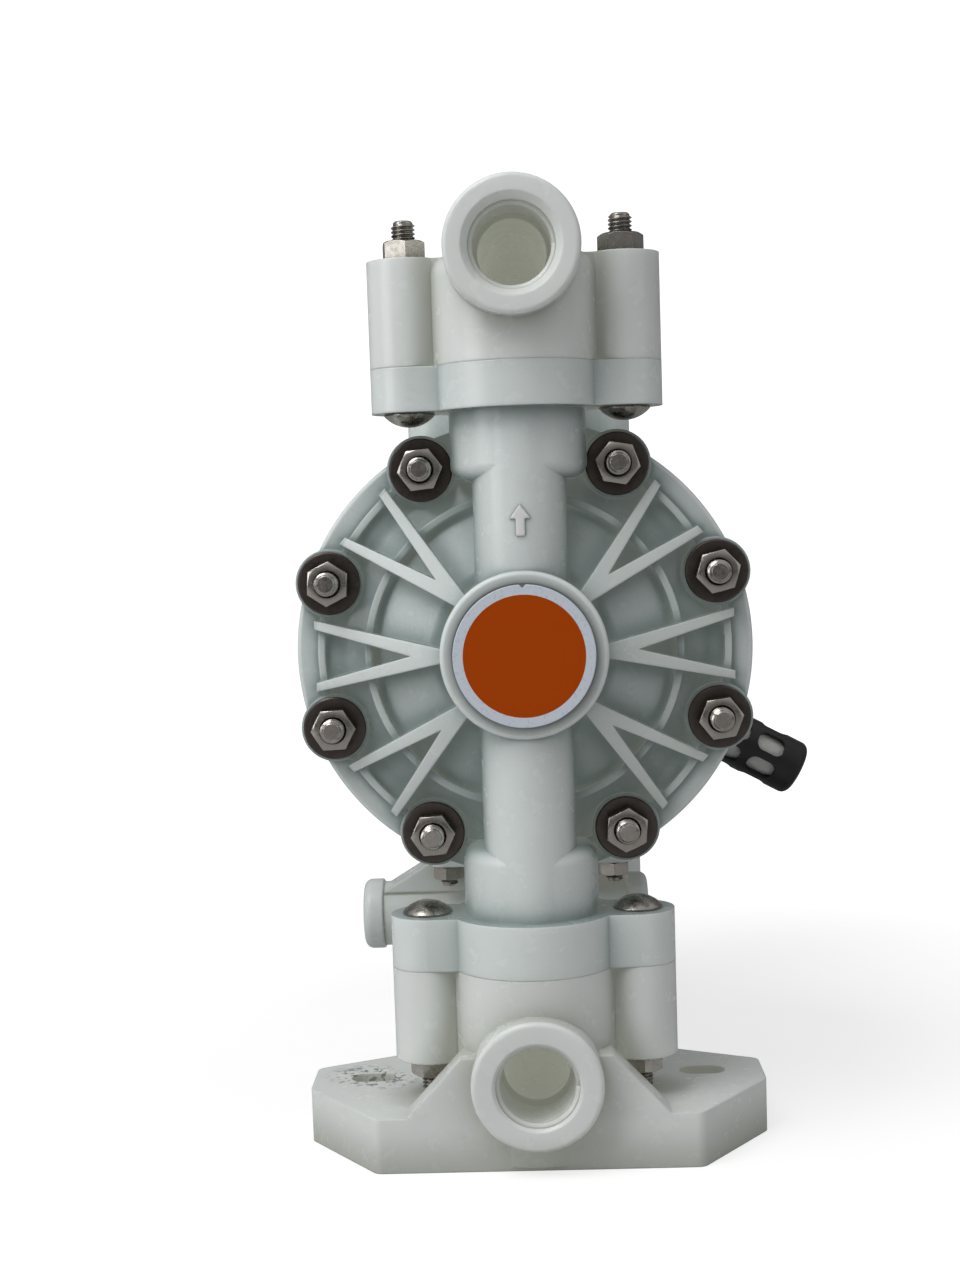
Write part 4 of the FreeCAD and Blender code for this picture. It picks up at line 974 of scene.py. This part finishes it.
def raise_arrow(sizes):
    """The flow arrow, drawn flat and then laid round the riser."""
    long, wide = sizes.arrow_length / 2, sizes.arrow_width / 2
    stem, neck = wide * 0.42, long * 0.1
    outline = [
        (-stem, -long), (stem, -long), (stem, neck), (wide, neck), (0, long), (-wide, neck),
        (-stem, neck),
    ]
    bm = bmesh.new()
    face = bm.faces.new([bm.verts.new((x, 0, z)) for x, z in outline])
    raised = bmesh.ops.extrude_face_region(bm, geom=[face])["geom"]
    for vert in raised:
        if isinstance(vert, bmesh.types.BMVert):
            vert.co.y = 1.0
    for cut in (0, -stem, stem):
        bmesh.ops.bisect_plane(
            bm, geom=bm.verts[:] + bm.edges[:] + bm.faces[:], plane_co=(cut, 0, 0),
            plane_no=(1, 0, 0),
        )
    middle = axis_height() + sizes.arrow_height
    for vert in bm.verts:
        proud = vert.co.y > 0.5
        reach = RISER_RADIUS + (sizes.arrow_relief if proud else -0.3 * MM)
        inset = 0.93 if proud else 1.0
        angle = vert.co.x * inset / RISER_RADIUS
        height = middle + vert.co.z * inset
        vert.co = (reach * math.sin(angle), RISER_Y - reach * math.cos(angle), height)
    bmesh.ops.recalc_face_normals(bm, faces=bm.faces[:])
    piece("flow_arrow", bm, [finish("arrow_plastic")], "pump")


# Studio


def floor_paper():
    """Grey paper. The camera sees it bleached, and near the pump a little less than further out,
    so that the soft shadow stays."""
    material, tree, shader = fresh_material("floor_paper")
    grain = noise_mask(tree, 9.0, 2.0)
    tone = blend_colours(tree, grain, (0.48, 0.48, 0.48), (0.50, 0.50, 0.50))
    tree.links.new(tone, shader.inputs["Base Color"])
    shader.inputs["Roughness"].default_value = 0.8
    shader.inputs["Emission Color"].default_value = (1, 1, 1, 1)
    seen = add(tree, "ShaderNodeLightPath")
    where = add(tree, "ShaderNodeTexCoord")
    away = add(tree, "ShaderNodeVectorMath", operation="LENGTH")
    tree.links.new(where.outputs["Object"], away.inputs[0])
    fade = {"From Min": 0.10, "From Max": 0.45, "To Min": 0.66, "To Max": 0.95}
    bleach = stretched(tree, away.outputs["Value"], fade)
    glow = times(tree, seen.outputs["Is Camera Ray"], bleach)
    tree.links.new(glow, shader.inputs["Emission Strength"])
    return material


def lay_floor():
    """A pale sweep: a floor that curves up behind the pump."""
    front, back, bend, top, side = -1.6, 0.9, 0.5, 2.4, 2.2
    points = [(front, 0), (back, 0)]
    for i in range(1, 13):
        angle = math.radians(90 * i / 12)
        points.append((back + bend * math.sin(angle), bend - bend * math.cos(angle)))
    points.append((back + bend, top))
    bm = bmesh.new()
    left, right = ([bm.verts.new((x, y, z)) for y, z in points] for x in (-side, side))
    for i in range(len(points) - 1):
        bm.faces.new((left[i], right[i], right[i + 1], left[i + 1]))
    bmesh.ops.recalc_face_normals(bm, faces=bm.faces[:])
    for face in bm.faces:
        face.smooth = True
    mesh = bpy.data.meshes.new("floor")
    bm.to_mesh(mesh)
    bm.free()
    floor = bpy.data.objects.new("floor", mesh)
    bpy.context.scene.collection.objects.link(floor)
    mesh.materials.append(floor_paper())


def soft_box(name, place, aim, size, watts):
    """A square light that looks at a point."""
    data = bpy.data.lights.new(name, "AREA")
    data.shape = "SQUARE"
    data.size = size
    data.energy = watts
    light = bpy.data.objects.new(name, data)
    bpy.context.scene.collection.objects.link(light)
    light.location = place
    away = Vector(place) - Vector(aim)
    light.rotation_euler = away.to_track_quat("Z", "Y").to_euler()


def light_room(scene, strength):
    """White for the camera, a soft grey sky for everything else."""
    world = bpy.data.worlds.new("studio")
    scene.world = world
    world.use_nodes = True
    tree = world.node_tree
    back = next(n for n in tree.nodes if n.type == "BACKGROUND")
    seen = add(tree, "ShaderNodeLightPath")
    where = add(tree, "ShaderNodeTexCoord")
    split = add(tree, "ShaderNodeSeparateXYZ")
    tree.links.new(where.outputs["Generated"], split.inputs["Vector"])
    rise = stretched(
        tree, split.outputs["Z"],
        {"From Min": -0.05, "From Max": 0.8, "To Min": strength * 0.3, "To Max": strength * 1.5},
    )
    choose = add(tree, "ShaderNodeMix", {3: 1.0}, data_type="FLOAT")
    tree.links.new(seen.outputs["Is Camera Ray"], choose.inputs["Factor"])
    tree.links.new(rise, choose.inputs[2])
    tree.links.new(choose.outputs[0], back.inputs["Strength"])
    back.inputs["Color"].default_value = (1, 1, 1, 1)


def photo_camera(stage):
    """The camera that took the photograph. Its turn is written in a camera's own axes, which are
    right, down and ahead."""
    data = bpy.data.cameras.new("photo_camera")
    data.lens = stage.lens
    data.sensor_width = 36.0
    data.sensor_fit = "AUTO"
    data.shift_x, data.shift_y = stage.shift
    data.clip_start = 0.01
    camera = bpy.data.objects.new("photo_camera", data)
    bpy.context.scene.collection.objects.link(camera)
    turn = Vector(stage.camera_turn)
    ahead = Matrix.Rotation(turn.length, 3, turn.normalized())
    right_down_ahead = Matrix(((1, 0, 0), (0, 0, -1), (0, 1, 0)))
    seen = Matrix.Diagonal((1, -1, -1)) @ right_down_ahead @ ahead
    camera.matrix_world = Matrix.Translation(stage.camera_place) @ seen.transposed().to_4x4()
    return camera


# Operators


class PUMP_OT_finishes(bpy.types.Operator):
    """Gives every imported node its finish"""

    bl_idname = "pump.finishes"
    bl_label = "Finishes"

    def execute(self, context):
        for entry in frame["record"]["subparts"]:
            name = entry["material_slot"]
            if entry["node"] == "inlet_manifold":
                name = "foot_plastic"
            for material_slot in frame["nodes"][entry["node"]].material_slots:
                material_slot.material = finish(name)
        return {"FINISHED"}


class PUMP_OT_hardware(bpy.types.Operator):
    """Makes the threaded and chamfered nuts, bolts and washers"""

    bl_idname = "pump.hardware"
    bl_label = "Hardware"

    def execute(self, context):
        cover_hardware("front", -1)
        cover_hardware("rear", 1)
        manifold_hardware("outlet", True)
        manifold_hardware("inlet", False)
        valve_hardware()
        return {"FINISHED"}


class PUMP_OT_ports(bpy.types.Operator):
    """Raises the threads inside the ports"""

    bl_idname = "pump.ports"
    bl_label = "Port threads"

    def execute(self, context):
        sizes = context.scene.pump_ports
        liquid = (ALONG_Y, sizes.radius, sizes.depth, sizes.pitch, 0.5 * MM, 72)
        air = (ALONG_X, sizes.air_radius, sizes.air_depth, sizes.air_pitch, 0.4 * MM, 56)
        port_thread("outlet_port", "manifold_plastic", "manifold_plastic", *liquid)
        port_thread("inlet_port", "foot_plastic", "manifold_plastic", *liquid)
        port_thread("air_inlet", "centre_plastic", "centre_plastic", *air)
        return {"FINISHED"}


class PUMP_OT_plate(bpy.types.Operator):
    """Lays the plain round plate into the front hub"""

    bl_idname = "pump.plate"
    bl_label = "Round plate"

    def execute(self, context):
        lay_plate(context.scene.pump_plate)
        return {"FINISHED"}


class PUMP_OT_arrow(bpy.types.Operator):
    """Raises the flow arrow on the front riser"""

    bl_idname = "pump.arrow"
    bl_label = "Flow arrow"

    def execute(self, context):
        raise_arrow(context.scene.pump_plate)
        return {"FINISHED"}


class PUMP_OT_stage(bpy.types.Operator):
    """Sets the floor, the lights and the photograph's camera"""

    bl_idname = "pump.stage"
    bl_label = "Stage"

    def execute(self, context):
        scene = context.scene
        stage = scene.pump_stage
        lay_floor()
        for name, place, aim, size in LIGHTS:
            soft_box(f"{name}_light", place, aim, size, getattr(stage, name))
        light_room(scene, stage.air)
        scene.camera = photo_camera(stage)
        scene.view_settings.view_transform = "Standard"
        return {"FINISHED"}


class PUMP_PT_panel(bpy.types.Panel):
    """Lists the pump's groups and its stage"""

    bl_label = "Pump"
    bl_idname = "PUMP_PT_panel"
    bl_space_type = "VIEW_3D"
    bl_region_type = "UI"
    bl_category = "Pump"

    def draw(self, context):
        for operator in OPERATORS:
            self.layout.operator(operator.bl_idname)
        for name in SETTINGS:
            box = self.layout.box()
            group = getattr(context.scene, name)
            for key in group.bl_rna.properties.keys():
                if key not in {"rna_type", "name"}:
                    box.prop(group, key)


SETTINGS = {
    "pump_plastic": PumpPlastic,
    "pump_metal": PumpMetal,
    "pump_hardware": PumpHardware,
    "pump_ports": PumpPorts,
    "pump_plate": PumpPlate,
    "pump_stage": PumpStage,
}
OPERATORS = (
    PUMP_OT_finishes,
    PUMP_OT_hardware,
    PUMP_OT_ports,
    PUMP_OT_plate,
    PUMP_OT_arrow,
    PUMP_OT_stage,
)


def register():
    for name, group in SETTINGS.items():
        bpy.utils.register_class(group)
        setattr(bpy.types.Scene, name, PointerProperty(type=group))
    for item in (*OPERATORS, PUMP_PT_panel):
        bpy.utils.register_class(item)


def unregister():
    for item in reversed((*OPERATORS, PUMP_PT_panel)):
        bpy.utils.unregister_class(item)
    for name, group in reversed(SETTINGS.items()):
        delattr(bpy.types.Scene, name)
        bpy.utils.unregister_class(group)


def main():
    register()
    bpy.ops.pump.finishes()
    bpy.ops.pump.hardware()
    bpy.ops.pump.ports()
    bpy.ops.pump.plate()
    bpy.ops.pump.arrow()
    bpy.ops.pump.stage()


if __name__ == "__main__":
    main()
